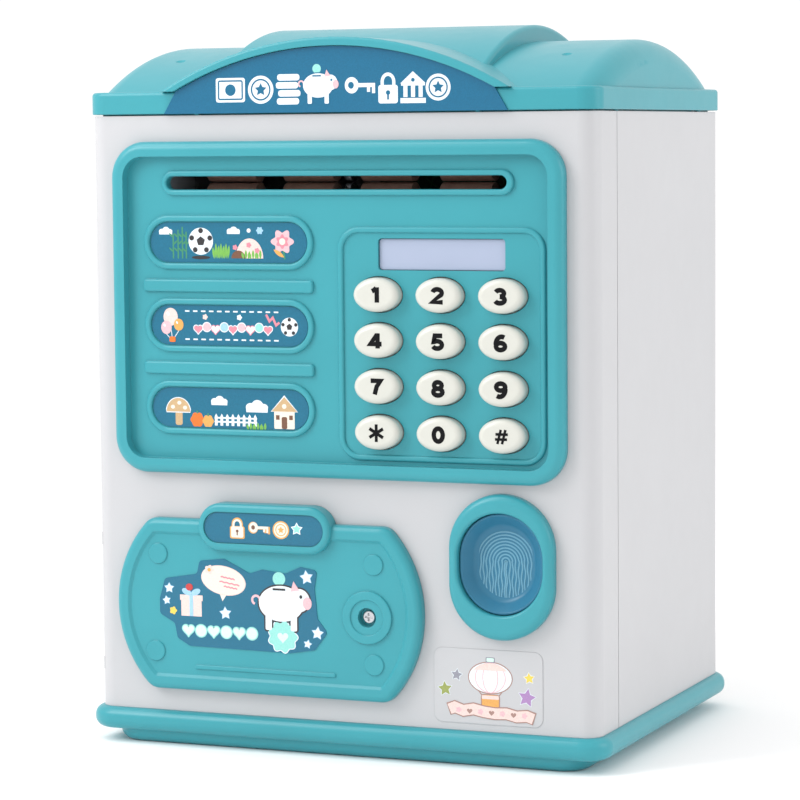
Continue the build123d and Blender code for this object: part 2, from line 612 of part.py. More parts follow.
PAD_FRONT = FRONT - 2.2
PAD_FLOOR = FRONT + 2.0
PAD_GAP = 0.25
with BuildPart() as fingerprint_pad:
    stadium(PAD_X, PAD_Z, PAD_WIDTH - 2 * PAD_GAP, PAD_HEIGHT - 2 * PAD_GAP, (FRONT + 3.6, PAD_FRONT))
    stadium(PAD_X, PAD_Z, PAD_WIDTH + 1.8, PAD_HEIGHT + 1.8, (FRONT + 4.4, FRONT + 3.3))
    # hollow for the fingertip, with sloping sides and a rounded floor
    with BuildPart(mode=Mode.PRIVATE) as hollow:
        for depth, inset in ((PAD_FRONT, PAD_GAP + 0.7), (PAD_FLOOR, PAD_GAP + 4.3)):
            with BuildSketch(facing_front(depth)):
                with Locations((PAD_X, PAD_Z)):
                    SlotOverall(PAD_HEIGHT - 2 * inset, PAD_WIDTH - 2 * inset, rotation=90)
        loft()
        fillet(hollow.faces().sort_by(Axis.Y)[-1].edges(), radius=3.0)
    add(hollow.part, mode=Mode.SUBTRACT)
    fillet(fingerprint_pad.faces().sort_by(Axis.Y)[0].edges(), radius=0.3)
save(fingerprint_pad.part, "fingerprint_pad")

with BuildPart() as fingerprint_board:
    slab((35.6, 80.8), (52.0, 84.5), (READER_BOARD_Y + BOARD_THICK, READER_BOARD_Y), 1.5)
    slab((PAD_X - 3, PAD_X + 3), (PAD_Z - 3, PAD_Z + 3), (READER_BOARD_Y, READER_BOARD_Y - 2.5))
    disc(PAD_X, PAD_Z, 1.6, (READER_BOARD_Y - 2.0, READER_BOARD_Y - 3.2))
    for boss_x, boss_z in READER_BOSSES:
        disc(boss_x, boss_z, 1.1, (READER_BOARD_Y + 5, READER_BOARD_Y - 1), mode=Mode.SUBTRACT)
save(fingerprint_board.part, "fingerprint_board")


# ---------------------------------------------------------------- safe door
def door_outline(plane, inset):
    """Door outline with straight top and bottom and bowed sides, drawn inset from its edge."""
    with BuildSketch(plane) as outline:
        with BuildLine():
            top, bottom = DOOR_Z[1], DOOR_Z[0]
            middle = (top + bottom) / 2
            left, right = DOOR_FLAT_X
            Line((left, top), (right, top))
            ThreePointArc((right, top), (DOOR_TIPS_X[1], middle), (right, bottom))
            Line((right, bottom), (left, bottom))
            ThreePointArc((left, bottom), (DOOR_TIPS_X[0], middle), (left, top))
        make_face()
        fillet(outline.vertices(), radius=6.0)
        if inset:
            offset(amount=-inset, mode=Mode.REPLACE)
    return outline.sketch


TAB_CENTRE = (-24.4, 75.9)
TAB_SIZE = (48.1, 16.0)
TAB_LABEL = (43.5, 10.5)
TAB_FRONT = DOOR_FRONT - 2.0
DOOR_STUDS = ((-64.5, 65.9), (-65.8, 32.8), (14.1, 65.4), (14.1, 32.3))
DOOR_RIM = 5.4
LOCK_POCKET = 3.2

with BuildPart() as safe_door:
    extrude(door_outline(facing_front(DOOR_BACK), 0), amount=DOOR_BACK - DOOR_FRONT)
    fillet(safe_door.faces().sort_by(Axis.Y)[0].edges(), radius=2.4)
    # sunken field with a sloping edge
    field = door_outline(facing_front(DOOR_FIELD), DOOR_RIM)
    extrude(field, amount=DOOR_FIELD - DOOR_FRONT + 0.2, taper=-50, mode=Mode.SUBTRACT)
    stadium(*TAB_CENTRE, *TAB_SIZE, (DOOR_BACK, TAB_FRONT))
    fillet(safe_door.faces().sort_by(Axis.Y)[0].edges(), radius=1.6)
    stadium(*TAB_CENTRE, *TAB_LABEL, (TAB_FRONT + 0.7, TAB_FRONT - 1), mode=Mode.SUBTRACT)
    with BuildPart(mode=Mode.PRIVATE) as studs:
        for stud_x, stud_z in DOOR_STUDS:
            disc(stud_x, stud_z, 3.5, (DOOR_FIELD + 0.5, DOOR_FIELD - 0.5))
        slab((-51.2, 0.4), (27.3, 28.8), (DOOR_FIELD + 0.5, DOOR_FIELD - 0.5), 0.7)
        fillet(studs.faces().group_by(Axis.Y)[0].edges(), radius=0.35)
    add(studs.part)
    # lock boss with its screw pocket
    with BuildPart(mode=Mode.PRIVATE) as lock_boss:
        disc(LOCK_X, LOCK_Z, 8.8, (DOOR_FIELD + 0.5, DOOR_FIELD - 0.9))
        disc(LOCK_X, LOCK_Z, 5.8, (DOOR_FIELD - 0.4, DOOR_FRONT - 3), mode=Mode.SUBTRACT)
        disc(LOCK_X, LOCK_Z, LOCK_POCKET, (DOOR_BACK, DOOR_FRONT - 3), mode=Mode.SUBTRACT)
        fillet(lock_boss.faces().sort_by(Axis.Y)[0].edges(), radius=0.4)
    add(lock_boss.part)
    disc(LOCK_X, LOCK_Z, LOCK_POCKET, (LOCK_FLOOR, DOOR_FRONT - 3), mode=Mode.SUBTRACT)
    disc(LOCK_X, LOCK_Z, 1.15, (DOOR_BACK + 1, DOOR_FRONT - 1), mode=Mode.SUBTRACT)
    # gooseneck arms: an arc about the hinge pin and a straight leg back to it
    for arm_bottom in ARM_BOTTOMS:
        with BuildSketch(Plane.XY.offset(arm_bottom)) as arm:
            with BuildLine():
                outer, inner = ARM_RADIUS + ARM_THICK / 2, ARM_RADIUS - ARM_THICK / 2
                start = -27.0
                CenterArc((HINGE_X, HINGE_Y), outer, start, 90 - start)
                CenterArc((HINGE_X, HINGE_Y), inner, start, 90 - start)
                Line(
                    (HINGE_X + inner * cos(radians(start)), HINGE_Y + inner * sin(radians(start))),
                    (HINGE_X + outer * cos(radians(start)), HINGE_Y + outer * sin(radians(start))),
                )
                Line((HINGE_X, HINGE_Y + inner), (HINGE_X, HINGE_Y + outer))
            make_face()
            with Locations((HINGE_X, HINGE_Y + ARM_RADIUS / 2)):
                Rectangle(ARM_THICK, ARM_RADIUS)
            with Locations((HINGE_X, HINGE_Y)):
                Circle(2.8)
                Circle(HINGE_PIN_RADIUS + RUN_GAP, mode=Mode.SUBTRACT)
        extrude(arm.sketch, amount=ARM_HEIGHT)
save(safe_door.part, "safe_door")

with BuildPart() as tab_label:
    stadium(*TAB_CENTRE, TAB_LABEL[0] - 0.5, TAB_LABEL[1] - 0.5, (TAB_FRONT + 0.7, TAB_FRONT + 0.45))
save(tab_label.part, "tab_label")

STICKER_OUTLINE = (
    (-64, 50.6), (-62, 57.6), (-50, 59.6), (-49, 64.1), (-40, 65.1), (-30.5, 60.6),
    (-26, 62.1), (-17.5, 61.1), (-12, 63.6), (-6, 62.6), (-7, 56.6), (-6, 46.6),
    (-2.5, 42.1), (-7, 36.1), (-16, 34.6), (-53, 35.1), (-57.5, 37.6), (-58.5, 42.6),
    (-64, 45.6),
)
with BuildPart() as door_label:
    with BuildSketch(facing_front(DOOR_FIELD)) as sticker:
        with BuildLine():
            Polyline(*STICKER_OUTLINE, close=True)
        make_face()
        fillet(sticker.vertices(), radius=1.4)
    extrude(amount=LABEL_THICK)
save(door_label.part, "door_label")

CATCH_X = (14.0, 16.5)
with BuildPart() as door_catch:
    slab((6.5, CATCH_X[1]), (42.4, 53.4), (DOOR_BACK + 2.4, DOOR_BACK))
    slab(CATCH_X, (42.4, 53.4), (BOLT_Y + 5.4, DOOR_BACK))
    disc(LOCK_X, LOCK_Z, 1.0, (INNER_FRONT + 3, DOOR_BACK - 1), mode=Mode.SUBTRACT)
    rod_x((CATCH_X[0] - 1, CATCH_X[1] + 1), BOLT_Y, LOCK_Z, BOLT_RADIUS + 0.7, mode=Mode.SUBTRACT)
save(door_catch.part, "door_catch")

catch_screw = screw_along(
    Plane(origin=(LOCK_X, LOCK_FLOOR, LOCK_Z), x_dir=(1, 0, 0), z_dir=(0, -1, 0)),
    2.2, 1.2, 0.95, 3.2,
)
save(catch_screw, "catch_screw")

with BuildPart() as hinge_pin:
    rod_z(HINGE_X, HINGE_Y, (HINGE_Z[0] + 0.1, HINGE_Z[1] - 0.1), HINGE_PIN_RADIUS)
save(hinge_pin.part, "hinge_pin")

# ---------------------------------------------------------------- latch
SOLENOID_X = (27.0, 41.0)
COLLAR_X = (22.6, 23.8)
BOLT_END_X = 45.5

with BuildPart() as latch_solenoid:
    slab(SOLENOID_X, (41.6, 51.4), (BOLT_Y + 5.6, INNER_FRONT))
    rod_x((SOLENOID_X[0] - 1, SOLENOID_X[1] + 1), BOLT_Y, LOCK_Z, BOLT_RADIUS + 0.08, mode=Mode.SUBTRACT)
save(latch_solenoid.part, "latch_solenoid")

with BuildPart() as latch_bolt:
    rod_x((17.4, BOLT_END_X), BOLT_Y, LOCK_Z, BOLT_RADIUS)
    chamfer(latch_bolt.faces().sort_by(Axis.X)[0].edges(), length=0.8)
    rod_x(COLLAR_X, BOLT_Y, LOCK_Z, 3.3)
save(latch_bolt.part, "latch_bolt")

SPRING_WIRE = 0.28
SPRING_RADIUS = 2.75
with BuildPart() as latch_spring:
    spring_start = COLLAR_X[1] + SPRING_WIRE + 0.02
    spring_height = SOLENOID_X[0] - SPRING_WIRE - 0.02 - spring_start
    with BuildLine() as coil:
        Helix(
            pitch=spring_height / 3,
            height=spring_height,
            radius=SPRING_RADIUS,
            center=(spring_start, BOLT_Y, LOCK_Z),
            direction=(1, 0, 0),
        )
    with BuildSketch(Plane(origin=coil.line @ 0, z_dir=coil.line % 0)):
        Circle(SPRING_WIRE)
    sweep(path=coil.line, is_frenet=True)
save(latch_spring.part, "latch_spring")

# ---------------------------------------------------------------- note feed
with BuildPart() as feed_frame:
    guide_x = (-SIDE_PLATE_X, SIDE_PLATE_X)
    left_plate = (-SIDE_PLATE_X - SIDE_PLATE, -SIDE_PLATE_X)
    right_plate = (SIDE_PLATE_X, SIDE_PLATE_X + SIDE_PLATE)
    slab(left_plate, (179.0, 200.0), (-46.0, FIELD_BACK))
    slab(right_plate, (179.0, 200.0), (-34.0, FIELD_BACK))
    slab(right_plate, (165.5, 180.0), (-34.0, -55.5))
    slab(guide_x, (184.4, 186.2), (-59.6, FIELD_BACK))
    slab(guide_x, (194.0, 195.8), (-59.6, FIELD_BACK))
    for shaft_z in (DRIVE_SHAFT_Z, IDLER_SHAFT_Z):
        rod_x((-70, 70), SHAFT_Y, shaft_z, SHAFT_RADIUS + RUN_GAP, mode=Mode.SUBTRACT)
    pinion_distance = DRIVE_MODULE * (DRIVE_TEETH + PINION_TEETH) / 2
    motor_y = SHAFT_Y + pinion_distance * cos(radians(MOTOR_ANGLE))
    motor_z = DRIVE_SHAFT_Z + pinion_distance * sin(radians(MOTOR_ANGLE))
    rod_x((SIDE_PLATE_X - 1, SIDE_PLATE_X + 3), motor_y, motor_z, 2.6, mode=Mode.SUBTRACT)
save(feed_frame.part, "feed_frame")


def roller_shaft(shaft_z, right_end, left_turn):
    """Steel-grey spindle with a small gear at its left end and a collar in the middle."""
    rod_x((-68.0, right_end), SHAFT_Y, shaft_z, SHAFT_RADIUS)
    rod_x((-1.2, 1.2), SHAFT_Y, shaft_z, ROLLER_RADIUS - 0.1)
    gear_x((-67.6, -63.8), SHAFT_Y, shaft_z, SHAFT_GEAR_MODULE, SHAFT_GEAR_TEETH, left_turn)


def rollers(shaft_z):
    """Rubber sleeves on one spindle."""
    for centre in ROLLER_CENTRES:
        span = (centre - ROLLER_LENGTH / 2, centre + ROLLER_LENGTH / 2)
        rod_x(span, SHAFT_Y, shaft_z, ROLLER_RADIUS)
        rod_x(span, SHAFT_Y, shaft_z, SHAFT_RADIUS, mode=Mode.SUBTRACT)


HALF_TOOTH = 360 / SHAFT_GEAR_TEETH / 2
with BuildPart() as drive_shaft:
    roller_shaft(DRIVE_SHAFT_Z, 70.0, 90.0)
save(drive_shaft.part, "drive_shaft")

with BuildPart() as idler_shaft:
    roller_shaft(IDLER_SHAFT_Z, 64.2, -90.0 + HALF_TOOTH)
save(idler_shaft.part, "idler_shaft")

with BuildPart() as drive_rollers:
    rollers(DRIVE_SHAFT_Z)
save(drive_rollers.part, "drive_rollers")

with BuildPart() as idler_rollers:
    rollers(IDLER_SHAFT_Z)
save(idler_rollers.part, "idler_rollers")

GEAR_X = (65.2, 69.0)
with BuildPart() as drive_gear:
    gear_x(GEAR_X, SHAFT_Y, DRIVE_SHAFT_Z, DRIVE_MODULE, DRIVE_TEETH, MOTOR_ANGLE)
    rod_x((63.4, GEAR_X[0]), SHAFT_Y, DRIVE_SHAFT_Z, 3.0)
    rod_x((60, 75), SHAFT_Y, DRIVE_SHAFT_Z, SHAFT_RADIUS, mode=Mode.SUBTRACT)
save(drive_gear.part, "drive_gear")

with BuildPart() as motor_pinion:
    half_pinion_tooth = 180 / PINION_TEETH
    gear_x(GEAR_X, motor_y, motor_z, DRIVE_MODULE, PINION_TEETH, MOTOR_ANGLE + 180 + half_pinion_tooth)
    rod_x((52.0, GEAR_X[1]), motor_y, motor_z, 0.9)
save(motor_pinion.part, "motor_pinion")

with BuildPart() as feed_motor:
    rod_x((38.0, SIDE_PLATE_X), motor_y, motor_z, MOTOR_RADIUS)
    rod_x((SIDE_PLATE_X, SIDE_PLATE_X + 1.4), motor_y, motor_z, 2.5)
    rod_x((36.6, 38.0), motor_y, motor_z, 3.0)
    rod_x((51.0, 70.0), motor_y, motor_z, 0.9 + RUN_GAP, mode=Mode.SUBTRACT)
save(feed_motor.part, "feed_motor")

# ---------------------------------------------------------------- money chamber divider
with BuildPart() as chamber_divider:
    slab((-INNER_HALF_WIDTH + 0.1, INNER_HALF_WIDTH - 0.1), (16.5, 180.0), (44.0, 42.0), 2.0)
    for side in (-1, 1):
        disc(side * COLUMN_X, COLUMN_Z[0], 4.2, (50, 40), mode=Mode.SUBTRACT)
save(chamber_divider.part, "chamber_divider")

# ---------------------------------------------------------------- electronics at the back
with BuildPart() as main_board:
    slab((-35.0, 35.0), (150.0, 195.0), (MAIN_BOARD_Y + BOARD_THICK, MAIN_BOARD_Y))
    slab((-10.0, 8.0), (165.0, 177.0), (MAIN_BOARD_Y, MAIN_BOARD_Y - 2.0))
    for can_x in (-24.0, 18.0, 26.0):
        disc(can_x, 172.0, 3.0, (MAIN_BOARD_Y, MAIN_BOARD_Y - 7.0))
    for boss_x, boss_z in BOARD_BOSSES:
        disc(boss_x, boss_z, 1.1, (MAIN_BOARD_Y + 5, MAIN_BOARD_Y - 1), mode=Mode.SUBTRACT)
save(main_board.part, "main_board")

with BuildPart() as speaker:
    disc(0, SPEAKER_Z, 18.0, (INNER_BACK, INNER_BACK - 3.0))
    with BuildSketch(facing_front(INNER_BACK - 3.0)):
        with Locations((0, SPEAKER_Z)):
            Circle(15.0)
    extrude(amount=5.0, taper=25)
    disc(0, SPEAKER_Z, 9.0, (INNER_BACK - 7.9, INNER_BACK - 13.0))
    disc(0, SPEAKER_Z, 14.0, (INNER_BACK + 1, INNER_BACK - 1.6), mode=Mode.SUBTRACT)
save(speaker.part, "speaker")


def board_screw(x, y, z):
    """Small screw that holds a circuit board on its boss, driven towards the front."""
    return screw_along(forward_screw_plane(x, y, z), 1.9, 1.2, 0.9, 5.0)


board_screws = [board_screw(x, BOARD_FRONT + BOARD_THICK, z) for x, z in KEYPAD_BOSSES]
board_screws += [board_screw(x, READER_BOARD_Y + BOARD_THICK, z) for x, z in READER_BOSSES]
board_screws += [
    screw_along(
        Plane(origin=(x, MAIN_BOARD_Y, z), x_dir=(1, 0, 0), z_dir=(0, -1, 0)), 1.9, 1.2, 0.9, 7.0
    )
    for x, z in BOARD_BOSSES
]
save(Compound(children=board_screws), "board_screws")

# ---------------------------------------------------------------- battery bay
BOX_WALL = 1.8
BOX_FLOOR_Y = 46.5
COVER_BACK = BACK - 2.0
COVER_SCREW_Z = BAY_Z[1] + 4.2
with BuildPart() as battery_box:
    slab(
        (-BAY_X - BOX_WALL, BAY_X + BOX_WALL),
        (BAY_Z[0] - BOX_WALL, BAY_Z[1] + BOX_WALL),
        (INNER_BACK, BOX_FLOOR_Y),
        2.0,
    )
    slab((-BAY_X, BAY_X), BAY_Z, (INNER_BACK + 1, BOX_FLOOR_Y + BOX_WALL), 1.0, mode=Mode.SUBTRACT)
    disc(0, COVER_SCREW_Z, 3.4, (INNER_BACK, 50.0))
    disc(0, COVER_SCREW_Z, 1.15, (INNER_BACK + 1, 52.0), mode=Mode.SUBTRACT)
save(battery_box.part, "battery_box")

with BuildPart() as battery_cells:
    for row_z in CELL_ROWS:
        rod_x((-CELL_LENGTH / 2 + 1.0, CELL_LENGTH / 2 - 1.0), CELL_Y, row_z, CELL_RADIUS)
    sides = battery_cells.edges().filter_by(GeomType.CIRCLE)
    fillet(sides, radius=0.6)
    for index, row_z in enumerate(CELL_ROWS):
        end = CELL_LENGTH / 2 if index % 2 == 0 else -CELL_LENGTH / 2
        rod_x(sorted((end, end * 0.94)), CELL_Y, row_z, 2.6)
save(battery_cells.part, "battery_cells")

with BuildPart() as battery_contacts:
    for index, row_z in enumerate(CELL_ROWS):
        plus = 1 if index % 2 == 0 else -1
        for side in (-1, 1):
            plate = sorted((side * BAY_X, side * (BAY_X - 0.5)))
            slab(plate, (row_z - 5, row_z + 5), (CELL_Y + 5, CELL_Y - 5))
        rod_x(sorted((plus * (BAY_X - 0.5), plus * (CELL_LENGTH / 2 + 0.1))), CELL_Y, row_z, 1.6)
        start_x = -plus * (CELL_LENGTH / 2 - 1.0 + 0.7)
        with BuildLine() as coil:
            Helix(
                pitch=1.4,
                height=4.2,
                radius=3.4,
                center=(start_x, CELL_Y, row_z),
                direction=(-plus, 0, 0),
            )
        with BuildSketch(Plane(origin=coil.line @ 0, z_dir=coil.line % 0)):
            Circle(0.4)
        sweep(path=coil.line, is_frenet=True)
save(battery_contacts.part, "battery_contacts")

with BuildPart() as battery_cover:
    for cover_x, cover_z in (((-BAY_X, BAY_X), BAY_Z), (COVER_TAB_X, COVER_TAB_Z)):
        slab(
            (cover_x[0] + FIT_GAP, cover_x[1] - FIT_GAP),
            (cover_z[0] + FIT_GAP, cover_z[1] - FIT_GAP),
            (BACK, COVER_BACK),
            1.7,
        )
    for rib in range(5):
        rib_z = 26.0 + 3.0 * rib
        slab((-12.0, 12.0), (rib_z - 0.5, rib_z + 0.5), (BACK + 0.6, BACK - 0.5))
    disc(0, COVER_SCREW_Z, 1.3, (BACK + 1, COVER_BACK - 1), mode=Mode.SUBTRACT)
    disc(0, COVER_SCREW_Z, 2.6, (BACK + 1, COVER_BACK + 0.8), mode=Mode.SUBTRACT)
save(battery_cover.part, "battery_cover")

cover_screw = screw_along(forward_screw_plane(0, COVER_BACK + 0.8, COVER_SCREW_Z), 2.3, 1.1, 1.0, 10.0)
save(cover_screw, "cover_screw")

# ---------------------------------------------------------------- power switch
with BuildPart() as switch_body:
    slab((41.0, 61.0), (39.0, 49.4), (INNER_BACK, 58.0))
    slab((43.6, 60.0), (41.4, 47.0), (INNER_BACK + 1, 62.8), mode=Mode.SUBTRACT)
save(switch_body.part, "switch_body")

with BuildPart() as power_switch:
    slab((44.2, 53.6), (41.8, 46.6), (65.2, 63.0))
    slab((SWITCH_X - 2.0, SWITCH_X + 2.0), (42.3, 46.1), (BACK + 1.6, 64.0))
save(power_switch.part, "power_switch")

# ---------------------------------------------------------------- clear picture sticker
with BuildPart() as front_sticker:
    slab((33.7, 71.5), (14.4, 39.0), (FRONT, FRONT - 0.15), 3.0)
save(front_sticker.part, "front_sticker")
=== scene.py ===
"""Looks of the toy cash-machine savings bank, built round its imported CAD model.

Everything is in metres, in the CAD model's frame: the front faces -Y and +Z is up.
"""

import json
from math import cos, pi, radians, sin, sqrt

import bmesh
import bpy
from mathutils import Matrix, Vector


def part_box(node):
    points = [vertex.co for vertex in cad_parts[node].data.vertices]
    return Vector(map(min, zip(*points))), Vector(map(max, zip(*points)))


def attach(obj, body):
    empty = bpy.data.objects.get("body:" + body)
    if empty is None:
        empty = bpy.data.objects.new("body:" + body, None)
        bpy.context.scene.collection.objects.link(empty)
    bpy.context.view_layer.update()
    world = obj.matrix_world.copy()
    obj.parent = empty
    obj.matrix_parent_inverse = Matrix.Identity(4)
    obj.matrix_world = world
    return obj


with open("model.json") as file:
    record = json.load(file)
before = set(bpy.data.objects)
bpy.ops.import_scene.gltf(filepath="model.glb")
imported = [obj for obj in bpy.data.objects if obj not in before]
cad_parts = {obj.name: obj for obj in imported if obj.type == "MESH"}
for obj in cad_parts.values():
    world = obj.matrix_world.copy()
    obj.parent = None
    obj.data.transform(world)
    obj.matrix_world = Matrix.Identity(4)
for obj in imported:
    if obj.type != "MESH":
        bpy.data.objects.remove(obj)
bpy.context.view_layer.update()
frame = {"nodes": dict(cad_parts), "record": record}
nodes = frame["nodes"]
MM = 0.001


# ---------------------------------------------------------------- shader building blocks
def new_shader(name):
    """A material with an empty Principled surface; returns it with its tree and shader node."""
    material = bpy.data.materials.new(name)
    material.use_nodes = True
    tree = material.node_tree
    return material, tree, tree.nodes["Principled BSDF"]


def add_node(tree, kind, **settings):
    """A node whose properties or unlinked sockets are set by name."""
    node = tree.nodes.new(kind)
    for key, value in settings.items():
        if hasattr(node, key):
            setattr(node, key, value)
        else:
            node.inputs[key.replace("_", " ")].default_value = value
    return node


def object_noise(tree, scale, detail=3.0, roughness=0.5, stretch=(1, 1, 1)):
    """Noise that is fixed to the piece; scale counts features per metre."""
    coords = add_node(tree, "ShaderNodeTexCoord")
    mapping = add_node(tree, "ShaderNodeMapping")
    mapping.inputs["Scale"].default_value = stretch
    noise = add_node(tree, "ShaderNodeTexNoise", Scale=scale, Detail=detail, Roughness=roughness)
    tree.links.new(coords.outputs["Object"], mapping.inputs["Vector"])
    tree.links.new(mapping.outputs["Vector"], noise.inputs["Vector"])
    return noise


def spread(tree, source, low, high):
    """Map a 0 to 1 value to a range."""
    node = add_node(tree, "ShaderNodeMapRange")
    node.inputs["From Min"].default_value = 0.25
    node.inputs["From Max"].default_value = 0.75
    node.inputs["To Min"].default_value = low
    node.inputs["To Max"].default_value = high
    tree.links.new(source, node.inputs["Value"])
    return node.outputs["Result"]


def shades(tree, source, dark, light):
    """Blend two colours by a 0 to 1 value."""
    ramp = add_node(tree, "ShaderNodeValToRGB")
    ramp.color_ramp.elements[0].position = 0.3
    ramp.color_ramp.elements[1].position = 0.7
    ramp.color_ramp.elements[0].color = (*dark, 1)
    ramp.color_ramp.elements[1].color = (*light, 1)
    tree.links.new(source, ramp.inputs["Fac"])
    return ramp.outputs["Color"]


def surface_relief(tree, bsdf, height, strength, depth, edge_radius=0.0):
    """Bump the surface by a height, over edges that catch the light as if lightly rounded."""
    bump = add_node(tree, "ShaderNodeBump", Strength=strength, Distance=depth)
    tree.links.new(height, bump.inputs["Height"])
    if edge_radius:
        bevel = add_node(tree, "ShaderNodeBevel", samples=4, Radius=edge_radius)
        tree.links.new(bevel.outputs["Normal"], bump.inputs["Normal"])
    tree.links.new(bump.outputs["Normal"], bsdf.inputs["Normal"])


def tinted(colour, factor):
    """A colour made lighter or darker."""
    return tuple(min(1.0, max(0.0, c * factor)) for c in colour)


# ---------------------------------------------------------------- materials
MOULDED_EDGE = 0.35 * MM        # radii that edges catch the light with
METAL_EDGE = 0.15 * MM
RUBBER_EDGE = 0.3 * MM


def moulded_plastic(name, colour, gloss=0.3, variation=0.04, coat=0.0, orange_peel=0.05):
    """Injection-moulded plastic: faint flow mottling, fine orange peel and softened edges."""
    material, tree, bsdf = new_shader(name)
    mottle = object_noise(tree, 28.0, detail=4.0)
    colour_out = shades(
        tree, mottle.outputs["Fac"], tinted(colour, 1 - variation), tinted(colour, 1 + variation)
    )
    tree.links.new(colour_out, bsdf.inputs["Base Color"])
    wipe = object_noise(tree, 140.0, detail=5.0, roughness=0.6)
    tree.links.new(spread(tree, wipe.outputs["Fac"], gloss - 0.02, gloss + 0.04), bsdf.inputs["Roughness"])
    peel = object_noise(tree, 900.0, detail=2.0)
    surface_relief(tree, bsdf, peel.outputs["Fac"], orange_peel, 0.08 * MM, MOULDED_EDGE)
    bsdf.inputs["Specular IOR Level"].default_value = 0.35
    bsdf.inputs["Coat Weight"].default_value = coat
    bsdf.inputs["Coat Roughness"].default_value = 0.12
    return material


def metal(name, colour, gloss, brushed=(1, 1, 1)):
    """Bare metal with fine machining lines along the unstretched axis."""
    material, tree, bsdf = new_shader(name)
    lines = object_noise(tree, 700.0, detail=6.0, roughness=0.65, stretch=brushed)
    tree.links.new(
        shades(tree, lines.outputs["Fac"], tinted(colour, 0.82), tinted(colour, 1.08)),
        bsdf.inputs["Base Color"],
    )
    tree.links.new(spread(tree, lines.outputs["Fac"], gloss - 0.08, gloss + 0.12), bsdf.inputs["Roughness"])
    bsdf.inputs["Metallic"].default_value = 1.0
    surface_relief(tree, bsdf, lines.outputs["Fac"], 0.15, 0.03 * MM, METAL_EDGE)
    return material


def rubber(name, colour):
    """Soft matte rubber with a dusty, faintly pitted skin."""
    material, tree, bsdf = new_shader(name)
    dust = object_noise(tree, 300.0, detail=6.0, roughness=0.7)
    tree.links.new(
        shades(tree, dust.outputs["Fac"], tinted(colour, 0.8), tinted(colour, 1.25)),
        bsdf.inputs["Base Color"],
    )
    tree.links.new(spread(tree, dust.outputs["Fac"], 0.6, 0.85), bsdf.inputs["Roughness"])
    surface_relief(tree, bsdf, dust.outputs["Fac"], 0.3, 0.1 * MM, RUBBER_EDGE)
    return material


def circuit_board(name, mask, copper):
    """Solder-masked board with a maze of copper tracks under the mask."""
    material, tree, bsdf = new_shader(name)
    coords = add_node(tree, "ShaderNodeTexCoord")
    tracks = add_node(
        tree, "ShaderNodeTexVoronoi", distance="MANHATTAN", feature="DISTANCE_TO_EDGE", Scale=260.0
    )
    tree.links.new(coords.outputs["Object"], tracks.inputs["Vector"])
    line = add_node(tree, "ShaderNodeMath", operation="LESS_THAN")
    line.inputs[1].default_value = 0.06
    tree.links.new(tracks.outputs["Distance"], line.inputs[0])
    tree.links.new(shades(tree, line.outputs["Value"], mask, copper), bsdf.inputs["Base Color"])
    bsdf.inputs["Roughness"].default_value = 0.35
    surface_relief(tree, bsdf, line.outputs["Value"], 0.3, 0.05 * MM)
    return material


def printed_film(name, colour, gloss=0.18, shine=0.4):
    """Ink on glossy sticker film, with the faint dot grain of offset printing."""
    material, tree, bsdf = new_shader(name)
    dots = object_noise(tree, 2600.0, detail=1.0)
    tree.links.new(
        shades(tree, dots.outputs["Fac"], tinted(colour, 0.93), tinted(colour, 1.06)),
        bsdf.inputs["Base Color"],
    )
    ripple = object_noise(tree, 60.0, detail=2.0)
    tree.links.new(spread(tree, ripple.outputs["Fac"], gloss - 0.04, gloss + 0.08), bsdf.inputs["Roughness"])
    surface_relief(tree, bsdf, ripple.outputs["Fac"], 0.08, 0.1 * MM)
    bsdf.inputs["Specular IOR Level"].default_value = shine
    return material


TEAL = (0.042, 0.30, 0.35)
WHITE = (0.50, 0.50, 0.515)
SIGN_BLUE = (0.008, 0.125, 0.235)
LABEL_BLUE = (0.010, 0.135, 0.225)

white_plastic = moulded_plastic("white ABS", WHITE, gloss=0.34, variation=0.012)
teal_plastic = moulded_plastic("teal ABS", TEAL, gloss=0.3, variation=0.03)
key_plastic = moulded_plastic("key ABS", (0.58, 0.58, 0.53), gloss=0.22, variation=0.02, coat=0.2)
lens_plastic = moulded_plastic("display lens", (0.36, 0.41, 0.54), gloss=0.2, variation=0.02)
pad_plastic = moulded_plastic("blue pad", (0.030, 0.17, 0.28), gloss=0.3, variation=0.03)
pad_ridge = moulded_plastic("pad ridges", (0.15, 0.36, 0.49), gloss=0.3, variation=0.03)
acetal = moulded_plastic("acetal", (0.72, 0.70, 0.62), gloss=0.42, variation=0.02)
black_plastic = moulded_plastic("black plastic", (0.015, 0.015, 0.017), gloss=0.45, orange_peel=0.2)
grey_plastic = moulded_plastic("grey plastic", (0.30, 0.31, 0.33), gloss=0.45)
silicone = rubber("silicone", (0.55, 0.56, 0.55))
roller_rubber = rubber("roller rubber", (0.30, 0.17, 0.13))
speaker_paper = rubber("speaker paper", (0.03, 0.03, 0.033))
steel = metal("steel", (0.56, 0.56, 0.58), gloss=0.28, brushed=(1, 1, 6))
bright_steel = metal("bright steel", (0.68, 0.68, 0.7), gloss=0.18)
motor_can = metal("zinc-plated can", (0.50, 0.50, 0.52), gloss=0.35, brushed=(12, 1, 1))
board = circuit_board("circuit board", (0.01, 0.10, 0.045), (0.03, 0.20, 0.08))
display_glass = moulded_plastic("display glass", (0.20, 0.24, 0.20), gloss=0.12)
cell_jacket = moulded_plastic("cell jacket", (0.02, 0.13, 0.07), gloss=0.22, coat=0.3)
sign_film = printed_film("sign film", SIGN_BLUE)
label_film = printed_film("label film", LABEL_BLUE)
sticker_film = moulded_plastic("clear film over white", tinted(WHITE, 1.01), gloss=0.3, variation=0.01)

